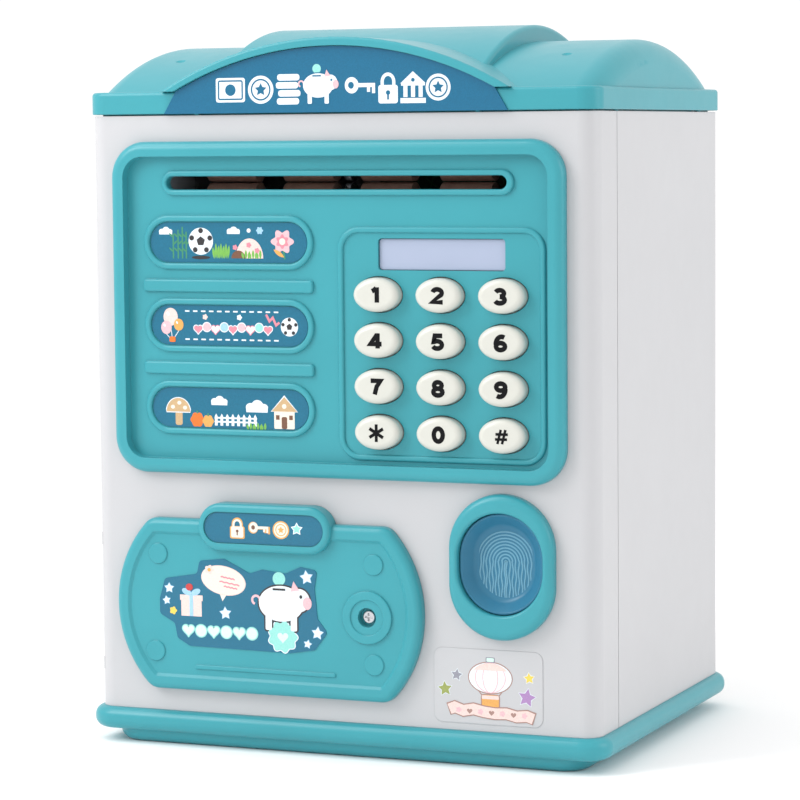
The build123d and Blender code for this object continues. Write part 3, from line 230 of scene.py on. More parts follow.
SLOT_MATERIALS = {
    "white_shell": white_plastic,
    "teal_shell": teal_plastic,
    "key_white": key_plastic,
    "sign_blue": sign_film,
    "label_print": label_film,
    "clear_film": sticker_film,
    "display_lens": lens_plastic,
    "display_glass": display_glass,
    "pad_blue": pad_plastic,
    "silicone": silicone,
    "roller_rubber": roller_rubber,
    "board_green": board,
    "steel": steel,
    "spring_steel": bright_steel,
    "motor_steel": motor_can,
    "white_gear": acetal,
    "black_plastic": black_plastic,
    "speaker_paper": speaker_paper,
    "grey_plastic": grey_plastic,
    "cell_jacket": cell_jacket,
}

for entry in frame["record"]["subparts"]:
    cad_node = nodes[entry["node"]]
    cad_node.data.materials.clear()
    cad_node.data.materials.append(SLOT_MATERIALS[entry["material_slot"]])


# ---------------------------------------------------------------- flat printed artwork
LAYER = 0.03 * MM
HAIR = 0.008            # of a layer


def arc(cx, cz, rx, rz, start, end, count=16):
    """Points along an elliptical arc, in degrees counter-clockwise from +X."""
    return [
        (cx + rx * cos(radians(start + (end - start) * k / count)),
         cz + rz * sin(radians(start + (end - start) * k / count)))
        for k in range(count + 1)
    ]


def oval(cx, cz, rx, rz, turn=0.0, count=36):
    """Ellipse, turned in degrees."""
    return turned(arc(cx, cz, rx, rz, 0, 360, count)[:-1], cx, cz, turn)


def turned(points, cx, cz, turn):
    """Points turned about a centre, in degrees."""
    c, s = cos(radians(turn)), sin(radians(turn))
    return [(cx + (x - cx) * c - (z - cz) * s, cz + (x - cx) * s + (z - cz) * c) for x, z in points]


def box(cx, cz, width, height, corner=0.0):
    """Rectangle with optional round corners."""
    w, h = width / 2 - corner, height / 2 - corner
    quarters = [(cx + sx * w, cz + sz * h) for sx, sz in ((1, 1), (-1, 1), (-1, -1), (1, -1))]
    if not corner:
        return quarters
    points = []
    for quarter, (x, z) in enumerate(quarters):
        points += arc(x, z, corner, corner, quarter * 90, quarter * 90 + 90, 5)
    return points


def star(cx, cz, radius, turn=0.0, inner=0.5):
    """Five-pointed star; inner is the share of its radius at the notches."""
    outline = []
    for k in range(10):
        r = radius if k % 2 == 0 else radius * inner
        angle = radians(90 + turn + k * 36)
        outline.append((cx + r * cos(angle), cz + r * sin(angle)))
    return outline


def petals(cx, cz, radius, count=5, depth=0.24, turn=0.0):
    """Scalloped flower outline."""
    return [
        (cx + radius * (1 - depth * (0.5 - 0.5 * cos(count * t))) * cos(t + radians(turn)),
         cz + radius * (1 - depth * (0.5 - 0.5 * cos(count * t))) * sin(t + radians(turn)))
        for t in [2 * pi * k / (12 * count) for k in range(12 * count)]
    ]


def heart(cx, cz, size):
    """Heart from the well-known sine and cosine curve, which is 32 wide and about 30 high."""
    outline = []
    steps = 36
    for k in range(steps):
        t = 2 * pi * k / steps
        x = 16 * sin(t) ** 3
        z = 13 * cos(t) - 5 * cos(2 * t) - 2 * cos(3 * t) - cos(4 * t)
        outline.append((cx + x * size / 34, cz + z * size / 34))
    return outline


def cloud(cx, cz, width):
    """Three humps on a flat foot."""
    humps = ((-0.27, 0.16, 0.2), (0.02, 0.22, 0.26), (0.29, 0.15, 0.19))
    outline = []
    steps = 32
    for k in range(steps + 1):
        x = -0.46 + 0.92 * k / steps
        top = 0.02
        for hx, hz, hr in humps:
            if abs(x - hx) < hr:
                top = max(top, hz + sqrt(hr * hr - (x - hx) ** 2) - 0.03)
        outline.append((cx + x * width, cz + (top - 0.2) * width))
    return outline + [(cx + 0.44 * width, cz - 0.22 * width), (cx - 0.44 * width, cz - 0.22 * width)]


def leaf(x0, z0, x1, z1, width):
    """Pointed blade between two points."""
    dx, dz = x1 - x0, z1 - z0
    length = sqrt(dx * dx + dz * dz)
    nx, nz = -dz / length * width / 2, dx / length * width / 2
    side = []
    other = []
    for k in range(1, 8):
        t = k / 8
        w = sin(pi * t) ** 0.8
        side.append((x0 + dx * t + nx * w, z0 + dz * t + nz * w))
        other.append((x0 + dx * t - nx * w, z0 + dz * t - nz * w))
    return [(x0, z0)] + side + [(x1, z1)] + other[::-1]


def grown(points, amount):
    """Outline moved outwards by an amount, for a border."""
    area = sum(a[0] * b[1] - b[0] * a[1] for a, b in zip(points, points[1:] + points[:1]))
    sign = 1 if area > 0 else -1
    result = []
    for k, (x, z) in enumerate(points):
        (ax, az), (bx, bz) = points[k - 1], points[(k + 1) % len(points)]
        tx, tz = bx - ax, bz - az
        length = sqrt(tx * tx + tz * tz) or 1.0
        result.append((x + sign * tz / length * amount, z - sign * tx / length * amount))
    return result


class Print:
    """A stack of thin printed shapes on a plane that faces the front."""

    def __init__(self, name, front_y, body, slot, lift=0.0):
        self.name, self.front_y, self.body, self.slot = name, front_y, body, slot
        self.lift = lift
        self.mesh = bmesh.new()
        self.inks = []
        self.shapes = 0

    def ink(self, material):
        """Material slot of an ink."""
        if material not in self.inks:
            self.inks.append(material)
        return self.inks.index(material)

    def point(self, x, z, layers):
        """Corner of a shape, a number of layers in front of the plane."""
        return self.mesh.verts.new((x * MM, self.front_y - layers * LAYER, (z + self.lift) * MM))

    def height(self, level):
        """Layers up to the face of a shape; each shape clears the one before by a hair."""
        self.shapes += 1
        return level + 1 + self.shapes * HAIR

    def prism(self, points, material, level):
        """Closed thin plate of a printed outline; higher levels cover lower ones."""
        index = self.ink(material)
        layers = self.height(level)
        near = [self.point(x, z, layers) for x, z in points]
        far = [self.point(x, z, 0) for x, z in points]
        faces = [self.mesh.faces.new(near), self.mesh.faces.new(far[::-1])]
        for k in range(len(points)):
            nxt = (k + 1) % len(points)
            faces.append(self.mesh.faces.new((near[nxt], near[k], far[k], far[nxt])))
        for face in faces:
            face.material_index = index

    def band(self, path, width, material, level, closed=False):
        """Line of even width along a path."""
        index = self.ink(material)
        top = self.height(level)
        count = len(path)
        pairs = []
        for k, (x, z) in enumerate(path):
            before = path[k - 1] if (closed or k) else path[k]
            after = path[(k + 1) % count] if (closed or k < count - 1) else path[k]
            ux, uz = x - before[0], z - before[1]
            vx, vz = after[0] - x, after[1] - z
            ul, vl = sqrt(ux * ux + uz * uz), sqrt(vx * vx + vz * vz)
            if ul:
                ux, uz = ux / ul, uz / ul
            if vl:
                vx, vz = vx / vl, vz / vl
            tx, tz = ux + vx, uz + vz
            length = sqrt(tx * tx + tz * tz) or 1.0
            tx, tz = tx / length, tz / length
            reference = (vx, vz) if vl else (ux, uz)
            miter = 1 / max(0.5, tx * reference[0] + tz * reference[1])
            ox, oz = -tz * width / 2 * miter, tx * width / 2 * miter
            corners = []
            for sign in (1, -1):
                px, pz = x + sign * ox, z + sign * oz
                corners += [self.point(px, pz, top), self.point(px, pz, 0)]
            pairs.append(corners)
        faces = []
        for k in range(count if closed else count - 1):
            a, b = pairs[k], pairs[(k + 1) % count]
            faces.append(self.mesh.faces.new((a[0], b[0], b[2], a[2])))
            faces.append(self.mesh.faces.new((a[1], a[3], b[3], b[1])))
            faces.append(self.mesh.faces.new((a[0], a[1], b[1], b[0])))
            faces.append(self.mesh.faces.new((a[2], b[2], b[3], a[3])))
        if not closed:
            a, b = pairs[0], pairs[-1]
            faces.append(self.mesh.faces.new((a[0], a[2], a[3], a[1])))
            faces.append(self.mesh.faces.new((b[0], b[1], b[3], b[2])))
        for face in faces:
            face.material_index = index

    def finish(self):
        """Turn the stack into one piece that moves with its body."""
        bmesh.ops.recalc_face_normals(self.mesh, faces=self.mesh.faces)
        self.mesh.normal_update()
        bmesh.ops.triangulate(self.mesh, faces=[f for f in self.mesh.faces if len(f.verts) > 4])
        data = bpy.data.meshes.new(self.name)
        self.mesh.to_mesh(data)
        self.mesh.free()
        for material in self.inks:
            data.materials.append(material)
        piece = bpy.data.objects.new(self.name, data)
        bpy.context.scene.collection.objects.link(piece)
        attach(piece, self.body)


BLACK = printed_film("black ink", (0.006, 0.006, 0.007), gloss=0.45, shine=0.1)
INKS = {
    name: printed_film(name + " ink", colour)
    for name, colour in {
        "white": (0.74, 0.80, 0.84),
        "cream": (0.78, 0.72, 0.62),
        "charcoal": (0.035, 0.032, 0.035),
        "mint": (0.28, 0.66, 0.60),
        "pale mint": (0.62, 0.84, 0.74),
        "leaf": (0.05, 0.24, 0.13),
        "grass": (0.17, 0.42, 0.08),
        "sky": (0.33, 0.56, 0.76),
        "rose": (0.66, 0.24, 0.30),
        "pink": (0.74, 0.46, 0.50),
        "red": (0.52, 0.05, 0.05),
        "orange": (0.76, 0.17, 0.03),
        "amber": (0.72, 0.36, 0.10),
        "yellow": (0.78, 0.58, 0.10),
        "tan": (0.54, 0.37, 0.20),
        "brown": (0.17, 0.08, 0.05),
        "mauve": (0.38, 0.22, 0.45),
        "olive": (0.30, 0.34, 0.10),
        "grey": (0.28, 0.28, 0.33),
        "outline": (0.36, 0.22, 0.19),
        "peach": (0.78, 0.60, 0.56),
    }.items()
}

WHITE_INK = INKS["white"]

# Numerals and signs as pen strokes in a box 1 high
GLYPHS = {
    "1": [[(0.10, 0.76), (0.22, 0.84), (0.33, 0.98)], [(0.36, 1.03), (0.36, 0.0)]],
    "2": [arc(0.31, 0.70, 0.24, 0.24, 170, -38) + [(0.05, 0.08), (0.60, 0.08)]],
    "3": [arc(0.29, 0.72, 0.22, 0.21, 160, -90), arc(0.29, 0.28, 0.25, 0.22, 90, -160)],
    "4": [[(0.43, 0.0), (0.43, 1.03)], [(0.40, 0.94), (0.05, 0.30), (0.64, 0.30)]],
    "5": [[(0.56, 0.93), (0.17, 0.93), (0.11, 0.52)] + arc(0.29, 0.32, 0.25, 0.25, 125, -155)],
    "6": [arc(0.31, 0.29, 0.235, 0.235, 0, 360), arc(0.37, 0.44, 0.30, 0.50, 185, 62)],
    "7": [[(0.04, 0.93), (0.56, 0.93), (0.36, 0.55), (0.25, 0.0)]],
    "8": [arc(0.31, 0.72, 0.20, 0.215, 0, 360), arc(0.31, 0.275, 0.24, 0.23, 0, 360)],
    "9": [arc(0.31, 0.71, 0.235, 0.235, 0, 360), arc(0.25, 0.56, 0.30, 0.50, 5, -118)],
    "0": [arc(0.31, 0.50, 0.235, 0.435, 0, 360, 28)],
    "star": [
        [(0.31 + 0.42 * cos(radians(a)), 0.5 + 0.60 * sin(radians(a))),
         (0.31 - 0.42 * cos(radians(a)), 0.5 - 0.60 * sin(radians(a)))]
        for a in (90, 30, 150)
    ],
    "hash": [
        [(0.12, 0.02), (0.30, 0.98)], [(0.36, 0.02), (0.54, 0.98)],
        [(0.0, 0.33), (0.62, 0.33)], [(0.03, 0.67), (0.66, 0.67)],
    ],
}
GLYPH_WIDTH, GLYPH_HEIGHT = 6.6, 4.8
PEN, GLYPH_PEN = 1.55, {"star": 1.05, "hash": 0.85}
MIDDLE, GLYPH_MIDDLE = 0.31, {"1": 0.26}
GLYPH_SHIFT = 0.3
SAME_POINT = 1e-6

for glyph, strokes in GLYPHS.items():
    low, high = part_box("key_" + glyph)
    left = (low.x + high.x) / 2 / MM - GLYPH_MIDDLE.get(glyph, MIDDLE) * GLYPH_WIDTH + GLYPH_SHIFT
    foot = (low.z + high.z) / 2 / MM - 0.5 * GLYPH_HEIGHT
    legend = Print("legend_" + glyph, low.y, "key_" + glyph, "key_white")
    for level, stroke in enumerate(strokes):
        path = [(left + x * GLYPH_WIDTH, foot + z * GLYPH_HEIGHT) for x, z in stroke]
        closed = abs(path[0][0] - path[-1][0]) + abs(path[0][1] - path[-1][1]) < SAME_POINT
        legend.band(path[:-1] if closed else path, GLYPH_PEN.get(glyph, PEN), BLACK, level, closed)
    legend.finish()

# Sign: pictograms of money, keys and a bank house in the places of the raised letters
sign_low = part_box("sign_plate")[0]
sign = Print("sign_pictograms", sign_low.y, "root", "sign_blue")


def coin(art, cx, cz, radius, face, mark, level=0):
    """Coin with a ring and a star."""
    art.prism(oval(cx, cz, radius, radius), face, level)
    art.band(oval(cx, cz, radius * 0.72, radius * 0.72), radius * 0.11, mark, level + 1, True)
    art.prism(star(cx, cz, radius * 0.48), mark, level + 1)


def house(art, cx, foot, width, height, wall, roof, gap):
    """Bank house: steps, columns and a gable."""
    art.prism(box(cx, foot + 0.08 * height, width, 0.16 * height), wall, 0)
    for k in (-1, 0, 1):
        art.prism(box(cx + k * width * 0.3, foot + 0.37 * height, width * 0.16, 0.36 * height), wall, 0)
    eaves = foot + 0.62 * height
    gable = [(cx - width / 2, eaves), (cx + width / 2, eaves), (cx, foot + height)]
    art.prism(box(cx, foot + 0.6 * height, width * 0.94, 0.1 * height), wall, 0)
    art.prism(gable, roof, 1)
    art.prism(oval(cx, foot + 0.73 * height, 0.07 * width, 0.07 * width), gap, 2)


def key_shape(art, cx, cz, length, metal_ink, gap, level=0):
    """Key lying along X, its bow to the left."""
    bow = cx - length * 0.28
    art.prism(oval(bow, cz, length * 0.22, length * 0.24), metal_ink, level)
    art.prism(oval(bow - 0.02 * length, cz, length * 0.09, length * 0.1), gap, level + 2)
    art.prism(box(cx + 0.14 * length, cz, length * 0.66, length * 0.12), metal_ink, level + 1)
    for k, drop in ((0.26, 0.2), (0.42, 0.24)):
        tooth = box(cx + k * length, cz - 0.5 * drop * length, 0.1 * length, drop * length)
        art.prism(tooth, metal_ink, level)


def padlock(art, cx, foot, width, height, body_ink, gap, level=0):
    """Closed padlock with a keyhole."""
    radius = width * 0.3
    path = [(cx - radius, foot + 0.5 * height)] + arc(cx, foot + 0.68 * height, radius, 0.24 * height, 180, 0)
    art.band(path + [(cx + radius, foot + 0.5 * height)], width * 0.16, body_ink, level)
    art.prism(box(cx, foot + 0.29 * height, width, 0.58 * height, 0.12 * width), body_ink, level + 1)
    art.prism(oval(cx, foot + 0.34 * height, 0.11 * width, 0.11 * width), gap, level + 2)
    art.prism(box(cx, foot + 0.22 * height, 0.09 * width, 0.2 * height), gap, level + 2)


def piggy(art, cx, cz, size, skin, accent, line, extra):
    """Side view of a plain money pig with a coin above its back."""
    shapes = [
        box(cx + leg * size, cz - 0.36 * size, 0.13 * size, 0.3 * size, 0.03 * size) for leg in (-0.3, 0.22)
    ]
    shapes += [oval(cx - 0.04 * size, cz, 0.46 * size, 0.34 * size)]
    shapes += [oval(cx + 0.33 * size, cz + 0.08 * size, 0.22 * size, 0.22 * size)]
    for shape in shapes:
        art.prism(grown(shape, 0.03 * size), line, 1)
    for shape in shapes:
        art.prism(shape, skin, 2)
    ear = [(0.16, 0.24), (0.34, 0.27), (0.22, 0.44)]
    art.prism([(cx + x * size, cz + z * size) for x, z in ear], accent, 3)
    art.prism(oval(cx + 0.5 * size, cz + 0.03 * size, 0.09 * size, 0.12 * size), accent, 3)
    art.prism(oval(cx + 0.37 * size, cz + 0.15 * size, 0.03 * size, 0.035 * size), line, 3)
    tail = arc(cx - 0.56 * size, cz + 0.05 * size, 0.08 * size, 0.08 * size, -20, 250)
    art.band(tail, 0.045 * size, accent, 1)
    art.prism(box(cx - 0.08 * size, cz + 0.27 * size, 0.26 * size, 0.04 * size), line, 3)
    art.prism(oval(cx - 0.08 * size, cz + 0.47 * size, 0.13 * size, 0.13 * size), extra, 0)


note = (-36.4, 220.6)
sign.prism(box(*note, 10.6, 8.0, 0.8), WHITE_INK, 0)
sign.band(box(*note, 8.6, 6.0, 0.5), 0.5, sign_film, 1, True)
sign.prism(oval(*note, 1.9, 1.9), sign_film, 1)
coin(sign, -25.4, 220.6, 4.6, WHITE_INK, sign_film)
for k, shift in enumerate((0.0, 0.5, -0.3, 0.2)):
    sign.prism(box(-15.6 + shift, 216.7 + 2.6 * k, 8.0, 2.1, 0.9), WHITE_INK, 0)
piggy(sign, -4.3, 221.7, 11.6, WHITE_INK, INKS["pink"], sign_film, INKS["mint"])
key_shape(sign, 10.2, 221.6, 11.0, WHITE_INK, sign_film)
padlock(sign, 19.9, 215.6, 6.8, 10.2, WHITE_INK, sign_film)
house(sign, 28.6, 215.6, 8.8, 10.2, WHITE_INK, WHITE_INK, sign_film)
coin(sign, 37.3, 220.6, 4.3, WHITE_INK, sign_film)
sign.finish()


def grass(art, x0, x1, foot, height, material, level, count):
    """Row of blades that lean to and fro."""
    for k in range(count):
        x = x0 + (x1 - x0) * (k + 0.5) / count
        lean = (k % 3 - 1) * 0.5
        tip = foot + height * (0.75 + 0.25 * ((k * 2) % 3) / 2)
        art.prism(leaf(x, foot, x + lean, tip, 0.9), material, level)


def patched_ball(art, cx, cz, radius, level):
    """White ball with dark patches."""
    art.prism(oval(cx, cz, radius, radius), WHITE_INK, level)
    art.prism(star(cx, cz, radius * 0.36, inner=0.82), INKS["charcoal"], level + 1)
    for k in range(5):
        angle = radians(90 + 72 * k)
        art.prism(
            oval(cx + 0.78 * radius * cos(angle), cz + 0.78 * radius * sin(angle), radius * 0.2,
                 radius * 0.2, count=10),
            INKS["charcoal"], level + 1,
        )


def gift(art, cx, foot, width, height, wrap, ribbon, level):
    """Wrapped box with a lid, a ribbon and a bow."""
    art.prism(box(cx, foot + 0.36 * height, width * 0.9, 0.72 * height), wrap, level)
    art.prism(box(cx, foot + 0.66 * height, width, 0.2 * height), wrap, level + 1)
    art.prism(box(cx, foot + 0.38 * height, width * 0.16, 0.76 * height), ribbon, level + 2)
    for side in (-1, 1):
        art.prism(
            oval(cx + side * 0.2 * width, foot + 0.87 * height, 0.22 * width, 0.11 * height, side * 25),
            ribbon, level + 2,
        )


def balloon(art, cx, cz, radius, colour, foot_x, foot_z, level):
    """Balloon with a glint, and its string down to a point."""
    art.band([(cx, cz - radius), (foot_x, foot_z)], 0.22, WHITE_INK, level)
    art.prism(oval(cx, cz, radius * 0.88, radius), colour, level + 1)
    glint = oval(cx - 0.3 * radius, cz + 0.35 * radius, radius * 0.16, radius * 0.24, 30)
    art.prism(glint, WHITE_INK, level + 2)


label_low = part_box("picture_label_top")[0]
top = Print("label_top_print", label_low.y, "root", "label_print", lift=-0.8)
top.prism(cloud(-61.2, 175.0, 5.4), WHITE_INK, 0)
for x, height in ((-58.4, 8.2), (-56.6, 9.6), (-55.0, 10.6), (-53.6, 9.0)):
    top.prism(box(x, 165.8 + height / 2, 0.55, height, 0.2), INKS["leaf"], 0)
    for k in range(3):
        z = 168.0 + 2.4 * k
        top.prism(leaf(x, z, x + (1.6 if k % 2 else -1.6), z + 1.5, 0.6), INKS["leaf"], 1)
patched_ball(top, -48.2, 171.6, 4.5, 1)
top.prism(oval(-48.2, 166.2, 3.4, 0.6), INKS["charcoal"], 0)
grass(top, -43.6, -38.0, 165.8, 5.2, INKS["grass"], 0, 9)
top.prism(cloud(-36.2, 175.2, 5.2), WHITE_INK, 0)
top.prism(oval(-30.6, 175.2, 0.7, 0.7), WHITE_INK, 0)
top.prism(petals(-26.6, 175.2, 1.3, 6), INKS["sky"], 0)
top.prism(arc(-30.4, 166.0, 5.0, 6.6, 0, 180, 20), INKS["peach"], 0)
top.prism(arc(-34.4, 166.0, 2.6, 2.6, 0, 180, 12), INKS["brown"], 1)
grass(top, -33.0, -26.0, 165.8, 3.0, INKS["grass"], 1, 8)
for x, z in ((-35.6, 169.6), (-30.6, 170.4), (-27.6, 168.6)):
    top.prism(petals(x, z, 0.95), INKS["rose"], 2)
top.band([(-17.6, 165.8), (-18.4, 171.0)], 0.6, INKS["leaf"], 0)
top.prism(petals(-18.4, 171.6, 4.2, 6, 0.3), INKS["pink"], 1)
top.prism(petals(-18.4, 171.6, 2.4, 6, 0.3, 30), INKS["rose"], 2)
top.prism(oval(-18.4, 171.6, 1.1, 1.1), INKS["cream"], 3)
top.prism(leaf(-17.8, 166.4, -21.6, 169.0, 1.4), INKS["amber"], 1)
top.finish()

middle = Print("label_middle_print", label_low.y, "root", "label_print", lift=-0.7)
dashes = 12
for k in range(dashes):
    x = -53.6 + 32.6 * k / (dashes - 1)
    for z in (148.2, 138.8):
        middle.prism(box(x, z, 1.7, 0.5, 0.2), WHITE_INK, 0)
for x, z, colour, size, level in (
    (-59.8, 146.2, "peach", 3.0, 0), (-61.4, 142.6, "pink", 2.2, 2), (-56.8, 143.6, "amber", 2.0, 2),
):
    balloon(middle, x, z, size, INKS[colour], -59.2, 138.2, level)
middle.prism(box(-59.2, 138.7, 2.2, 1.8, 0.4), INKS["orange"], 4)
row = ("rose", "pink", "white", "sky", "rose", "pink", "white", "mint", "rose")
for k, colour in enumerate(row):
    x = -49.6 + 3.2 * k
    z = 142.6 + (0.35 if k % 2 else -0.35)
    shape = heart(x, z, 3.3) if k % 2 == 0 else oval(x, z, 1.4, 1.4)
    middle.prism(grown(shape, 0.3), INKS["white" if colour != "white" else "rose"], 0)
    middle.prism(shape, INKS[colour], 1)
for x, colour in ((-47.0, "peach"), (-34.4, "white")):
    middle.prism(petals(x, 146.3, 1.0), INKS[colour], 0)
middle.band(
    [(-24.6, 147.4), (-23.4, 145.2), (-22.2, 146.4), (-21.0, 143.9), (-19.8, 144.8)], 0.8, INKS["rose"], 1
)
patched_ball(middle, -16.2, 143.4, 3.1, 1)
middle.finish()

bottom = Print("label_bottom_print", label_low.y, "root", "label_print", lift=-0.5)
bottom.prism(box(-57.2, 112.4, 2.6, 5.4, 0.8), INKS["tan"], 0)
mushroom = arc(-57.4, 114.2, 4.4, 4.6, 0, 180, 20)
bottom.prism(grown(mushroom, 0.3), WHITE_INK, 1)
bottom.prism(mushroom, INKS["tan"], 2)
for x, z in ((-59.4, 115.8), (-57.0, 117.2), (-54.9, 115.6)):
    bottom.prism(oval(x, z, 0.75, 0.65), INKS["cream"], 3)
for x, radius, colour in ((-50.4, 2.3, "orange"), (-46.4, 1.9, "amber")):
    bottom.prism(petals(x, 109.4 + radius, radius * 1.12, 6, 0.12), INKS[colour], 0)
    bottom.prism(box(x, 109.6 + 2 * radius, 0.5, 1.0), INKS["leaf"], 1)
for k in range(8):
    x = -43.4 + 2.05 * k
    picket = [(x - 0.5, 109.9), (x + 0.5, 109.9), (x + 0.5, 113.0), (x, 113.9), (x - 0.5, 113.0)]
    bottom.prism(picket, WHITE_INK, 1)
for z in (111.2, 112.5):
    bottom.prism(box(-36.2, z, 15.6, 0.55), WHITE_INK, 0)
bottom.prism(cloud(-42.2, 118.2, 6.6), WHITE_INK, 0)
bottom.prism(cloud(-28.4, 116.6, 8.8), WHITE_INK, 0)
grass(bottom, -32.0, -25.0, 108.8, 2.4, INKS["grass"], 1, 8)
bottom.prism(box(-18.4, 112.6, 7.4, 6.4, 0.4), INKS["cream"], 1)
bottom.prism(grown([(-23.2, 115.2), (-13.6, 115.2), (-18.4, 120.4)], 0.2), WHITE_INK, 0)
bottom.prism([(-23.0, 115.2), (-13.8, 115.2), (-18.4, 120.0)], INKS["tan"], 2)
bottom.prism(box(-18.4, 111.4, 2.0, 4.0, 0.6), INKS["brown"], 2)
for side in (-1, 1):
    bottom.prism(box(-18.4 + side * 2.4, 113.2, 1.3, 1.5), INKS["brown"], 2)
bottom.prism(oval(-18.4, 116.9, 0.8, 0.8), INKS["cream"], 3)
bottom.finish()

# Tab on the door: lock, key, coin and star with amber edges
tab_low, tab_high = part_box("tab_label")
tab = Print("tab_print", tab_low.y, "safe_door", "label_print")
tab_z = (tab_low.z + tab_high.z) / 2 / MM
padlock(tab, -33.8, tab_z - 3.5, 5.4, 7.2, INKS["amber"], INKS["brown"])
padlock(tab, -33.8, tab_z - 3.1, 4.5, 6.3, INKS["cream"], INKS["brown"], 3)
key_shape(tab, -25.7, tab_z + 0.4, 8.2, INKS["amber"], INKS["brown"])
key_shape(tab, -25.8, tab_z + 0.5, 7.2, INKS["cream"], INKS["brown"], 3)
tab.prism(oval(-17.9, tab_z, 3.0, 3.0), INKS["amber"], 0)
coin(tab, -17.9, tab_z, 2.55, INKS["cream"], INKS["amber"], 1)
tab.prism(grown(star(-12.2, tab_z + 0.5, 2.0), 0.25), WHITE_INK, 0)
tab.prism(star(-12.2, tab_z + 0.5, 1.7), INKS["mint"], 1)
tab.finish()

# Door picture
door_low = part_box("door_label")[0]
door = Print("door_print", door_low.y, "safe_door", "label_print", lift=0.6)
bubble = oval(-40.2, 57.2, 8.0, 4.6, -10)
door.prism([(-42.0, 53.6), (-38.6, 53.2), (-40.6, 50.2)], INKS["cream"], 0)
door.prism(grown(bubble, 0.3), INKS["peach"], 0)
door.prism(bubble, INKS["cream"], 1)
for x, z, length in ((-38.6, 58.4, 5.2), (-38.0, 56.8, 7.4), (-37.6, 55.2, 5.0)):
    door.band(
        [(x - length / 2 + length * k / 8, z - 0.16 * k * length / 8 + 0.25 * (k % 2)) for k in range(9)],
        0.5, INKS["rose"], 2,
    )
door.prism(petals(-45.4, 60.6, 1.7), INKS["peach"], 2)
door.prism(oval(-45.4, 60.6, 0.6, 0.6), INKS["amber"], 3)
gift(door, -52.2, 44.6, 8.4, 9.4, INKS["peach"], INKS["sky"], 0)
door.prism(oval(-52.9, 54.4, 1.3, 1.2), INKS["red"], 3)
door.prism(petals(-59.0, 46.2, 1.4), INKS["yellow"], 0)
piggy(door, -18.4, 50.4, 17.6, WHITE_INK, INKS["pink"], INKS["charcoal"], INKS["mint"])
rosette = petals(-18.6, 39.4, 5.4, 9, 0.16)
door.prism(grown(rosette, 0.3), WHITE_INK, 0)
door.prism(rosette, INKS["mint"], 1)
door.prism(heart(-18.6, 39.2, 4.2), INKS["pale mint"], 2)
for k in range(6):
    x = -53.4 + 4.7 * k
    shape = (heart(x, 39.9, 4.4), oval(x, 39.8, 1.9, 1.9))[k % 2]
    door.prism(grown(shape, 0.4), INKS["mint"], 1)
    door.prism(shape, INKS["pale mint"], 2)
for x, z, radius, turn in (
    (-9.8, 59.6, 2.3, 8), (-6.0, 41.2, 2.1, -6), (-39.6, 46.2, 2.1, 4), (-60.4, 53.8, 1.7, 0),
    (-61.4, 49.6, 1.4, 10), (-9.6, 37.4, 1.4, -12),
):
    door.prism(grown(star(x, z, radius, turn), 0.25), INKS["sky"], 0)
    door.prism(star(x, z, radius, turn), WHITE_INK, 1)
door.finish()

# Clear sticker at the lower right: a balloon with its basket over a ribbon, and stars
film_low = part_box("front_sticker")[0]
picture = Print("sticker_print", film_low.y, "root", "clear_film")
envelope = oval(53.4, 29.8, 7.4, 5.0)
picture.prism(grown(envelope, 0.35), INKS["outline"], 0)
picture.prism(envelope, WHITE_INK, 1)
for half in (2.6, 5.2):
    picture.band(arc(53.4, 29.8, half, 4.9, 90, 270, 18), 0.28, INKS["pink"], 2)
    picture.band(arc(53.4, 29.8, half, 4.9, -90, 90, 18), 0.28, INKS["pink"], 2)
picture.prism(arc(53.4, 31.4, 5.8, 3.2, 15, 165, 16), INKS["peach"], 3)
picture.prism(box(53.4, 35.6, 3.2, 1.9, 0.4), INKS["grey"], 0)
picture.prism(box(53.4, 35.7, 2.5, 1.2, 0.3), INKS["pale mint"], 1)
for side in (-1, 1):
    picture.band([(53.4 + side * 4.4, 25.8), (53.4 + side * 2.6, 23.6)], 0.35, INKS["outline"], 0)
picture.prism(box(53.4, 22.0, 6.6, 4.8, 1.0), INKS["outline"], 1)
picture.prism(box(53.4, 22.1, 5.9, 4.1, 0.8), INKS["amber"], 2)
picture.prism(box(53.4, 23.4, 5.9, 1.2, 0.3), INKS["peach"], 3)
ribbon_path = [
    (38.8, 18.8), (41.0, 19.6), (44.0, 18.6), (47.5, 19.3), (51.0, 18.6), (55.0, 18.2), (59.0, 18.4),
    (62.5, 17.6), (66.0, 18.0), (68.6, 17.2),
]
picture.band(ribbon_path, 4.2, INKS["outline"], 4)
picture.band(
    [(ribbon_path[0][0] + 0.35, ribbon_path[0][1])] + ribbon_path[1:-1]
    + [(ribbon_path[-1][0] - 0.35, ribbon_path[-1][1])],
    3.5, INKS["peach"], 5,
)
for k in range(7):
    x = 42.4 + 3.8 * k
    picture.prism(heart(x, 18.7 - 0.12 * k, 2.0) if k % 2 else petals(x, 18.8 - 0.12 * k, 1.0),
                  INKS["outline" if k % 2 else "pink"], 6)
for x, z, radius, colour, turn in (
    (37.6, 25.4, 2.5, "olive", 6), (41.7, 30.2, 2.0, "grey", -8), (66.8, 30.4, 1.9, "yellow", 5),
    (66.0, 24.0, 3.1, "mauve", -10),
):
    picture.prism(grown(star(x, z, radius, turn), 0.25), WHITE_INK, 0)
    picture.prism(star(x, z, radius, turn), INKS[colour], 1)
picture.finish()

# Fingerprint on the floor of the pad's hollow: nested arches whose legs run down to an oval edge
pad_low, pad_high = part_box("fingerprint_pad")
PAD_HOLLOW_DEPTH = 4.2
PRINT_X = (pad_low.x + pad_high.x) / 2 / MM
PRINT_Z = (pad_low.z + pad_high.z) / 2 / MM - 0.6
PRINT_HALF_WIDTH, PRINT_HALF_HEIGHT = 9.8, 11.7
RIDGE_PITCH = 1.05

